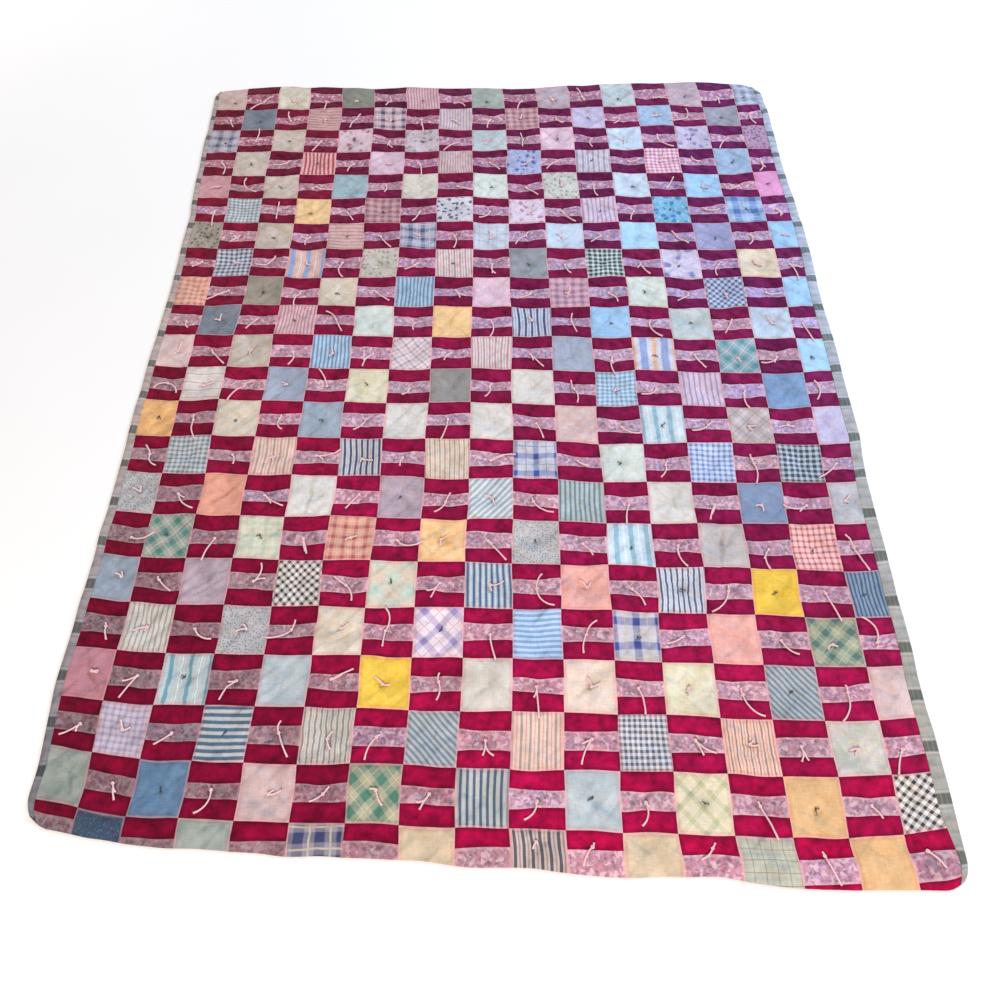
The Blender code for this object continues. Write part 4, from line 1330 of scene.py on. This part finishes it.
def stringMaterial(name, look):
    material, tree = newMaterial(name)  # two strands twisted together, so slanting shadows run round it
    strand = addNode(tree, "Attribute", attribute_name="strand").outputs["Vector"]
    travelled, around, _ = addNode(tree, "SeparateXYZ", [strand]).outputs
    along = addNode(tree, "Math", [travelled, 1 / ties["twist"]], operation="MULTIPLY")
    turned = addNode(tree, "Math", [along, around], operation="ADD")
    angle = addNode(tree, "Math", [turned, 4 * math.pi], operation="MULTIPLY")
    wave = addNode(tree, "Math", [angle], operation="SINE")
    ply = addNode(tree, "MapRange", [wave, -1.0, 0.2])
    where = addNode(tree, "TexCoord").outputs["Object"]
    fuzz = addNode(tree, "TexNoise", {"Vector": where, "Scale": 900.0, "Detail": 2.0})
    height = addNode(tree, "Math", [fuzz, 0.4, ply], operation="MULTIPLY_ADD")
    colour = addNode(tree, "MixRGB", [ply, tone(look["shade"]), tone(look["colour"])])
    rough = addNode(tree, "MapRange", [fuzz, 0, 1, 0.7, 0.95])
    bump = addNode(tree, "Bump", {"Height": height, "Strength": 0.8, "Distance": 0.0004})
    surface = addNode(tree, "BsdfPrincipled", {
        "Base Color": colour, "Roughness": rough, "Normal": bump, "IOR": cotton["ior"],
        "Sheen Weight": 0.2, "Sheen Roughness": 0.5})
    addNode(tree, "OutputMaterial", {"Surface": surface})
    return material


chance = np.random.default_rng(29)
knotted = {"pale": [], "dark": []}
for row in range(rows):
    for column in range(columns):
        if row == rows - 1 and column < ties["untied"]:
            continue
        draw = chance.uniform(0, 1, 8)
        look = "pale"
        if (column + row) % 2 == 1:
            (least, more), (secondLeast, secondMore) = ties["railTails"]
            hanging, fan = ties["hanging"]
            together, spread = ties["together"]
            curl, secondCurl = ties["curl"]
            heading = -math.pi / 2 + (draw[0] - 0.5) * fan if draw[1] < hanging else draw[0] * 2 * math.pi
            if draw[4] < together:
                other = heading + (draw[3] - 0.5) * spread
            else:
                other = heading + math.pi + (draw[3] - 0.5)
            tails = [(least + more * draw[2], heading, (draw[6] - 0.5) * curl),
                     (secondLeast + secondMore * draw[5] ** 2, other, (draw[7] - 0.5) * secondCurl)]
        elif draw[0] < darkShare[row] + ties["paleShare"]:
            if draw[0] < darkShare[row]:
                look = "dark"
            (least, more), (secondLeast, secondMore) = ties[look]["tails"]
            tails = [(least + more * draw[1], 2 * math.pi * draw[2], draw[3]),
                     (secondLeast + secondMore * draw[4], 2 * math.pi * draw[5], draw[6])]
        else:
            continue
        knotted[look].append(tieLine(column, row, ties[look]["radius"], tails))
string = stringMaterial("Cotton string", ties["pale"])
thread = stringMaterial("Dark pearl cotton", ties["dark"])
stringTies = makeTies("stringTies", knotted["pale"], ties["pale"]["radius"], string)
threadTies = makeTies("threadTies", knotted["dark"], ties["dark"]["radius"], thread)
print("ties knotted:", len(knotted["pale"]), "pale,", len(knotted["dark"]), "dark")


# Floor, light and camera

studio = {
    "floor": "#f6f6f4",
    "mottle": "#f2f2f0",
    "floorSize": 14.0,
    "world": "#ffffff",
    "worldStrength": 0.51,
    "lamps": {  # place, size, watts, colour
        "windowLight": ((3.4, 2.6, 2.4), 1.6, 187, "#d9e7ff"),
        "roomLight": ((-0.2, -3.9, 2.5), 1.8, 138, "#fff0e8"),
        "cornerLight": ((-2.8, 2.6, 1.3), 1.0, 25, "#fff6f0"),  # whitens the far left of the floor
    },
    "lens": 24.84,
    "cameraPlace": (0.0397, -1.0426, 1.3858),
    "cameraTurn": (26.297, 0.240, 0.323),
}

floorPaint, tree = newMaterial("Matt white board")  # a faint mottling keeps it from reading as a blank
where = addNode(tree, "TexCoord").outputs["Object"]
mottle = addNode(tree, "TexNoise", {"Vector": where, "Scale": 3.0, "Detail": 3.0})
colour = addNode(tree, "MixRGB", [mottle, tone(studio["floor"]), tone(studio["mottle"])])
surface = addNode(tree, "BsdfPrincipled", {
    "Base Color": colour, "Roughness": 0.9, "Specular IOR Level": 0.1})
addNode(tree, "OutputMaterial", {"Surface": surface})
half = studio["floorSize"] / 2
floorMesh = bpy.data.meshes.new("floor")
floorCorners = [(-half, -half, 0), (half, -half, 0), (half, half, 0), (-half, half, 0)]
floorMesh.from_pydata(floorCorners, [], [(0, 1, 2, 3)])
floorMesh.materials.append(floorPaint)
floor = bpy.data.objects.new("floor", floorMesh)
bpy.context.scene.collection.objects.link(floor)

world = bpy.data.worlds.new("soft room")
world.use_nodes = True
sky = world.node_tree.nodes["Background"]
sky.inputs["Color"].default_value = tone(studio["world"])
sky.inputs["Strength"].default_value = studio["worldStrength"]
bpy.context.scene.world = world

for name, (place, size, watts, colour) in studio["lamps"].items():
    lamp = bpy.data.lights.new(name, "AREA")
    lamp.shape = "DISK"
    lamp.size = size
    lamp.energy = watts
    lamp.color = tone(colour)[:3]
    lampObject = bpy.data.objects.new(name, lamp)
    lampObject.location = place
    aim = -lampObject.location
    lampObject.rotation_euler = aim.to_track_quat("-Z", "Y").to_euler()
    bpy.context.scene.collection.objects.link(lampObject)

cameraData = bpy.data.cameras.new("camera")
cameraData.lens = studio["lens"]
cameraData.sensor_width = 36.0
camera = bpy.data.objects.new("camera", cameraData)
camera.location = studio["cameraPlace"]
camera.rotation_euler = [math.radians(turn) for turn in studio["cameraTurn"]]
bpy.context.scene.collection.objects.link(camera)
bpy.context.scene.camera = camera
bpy.context.scene.view_settings.view_transform = "Standard"
print("lights and camera set")
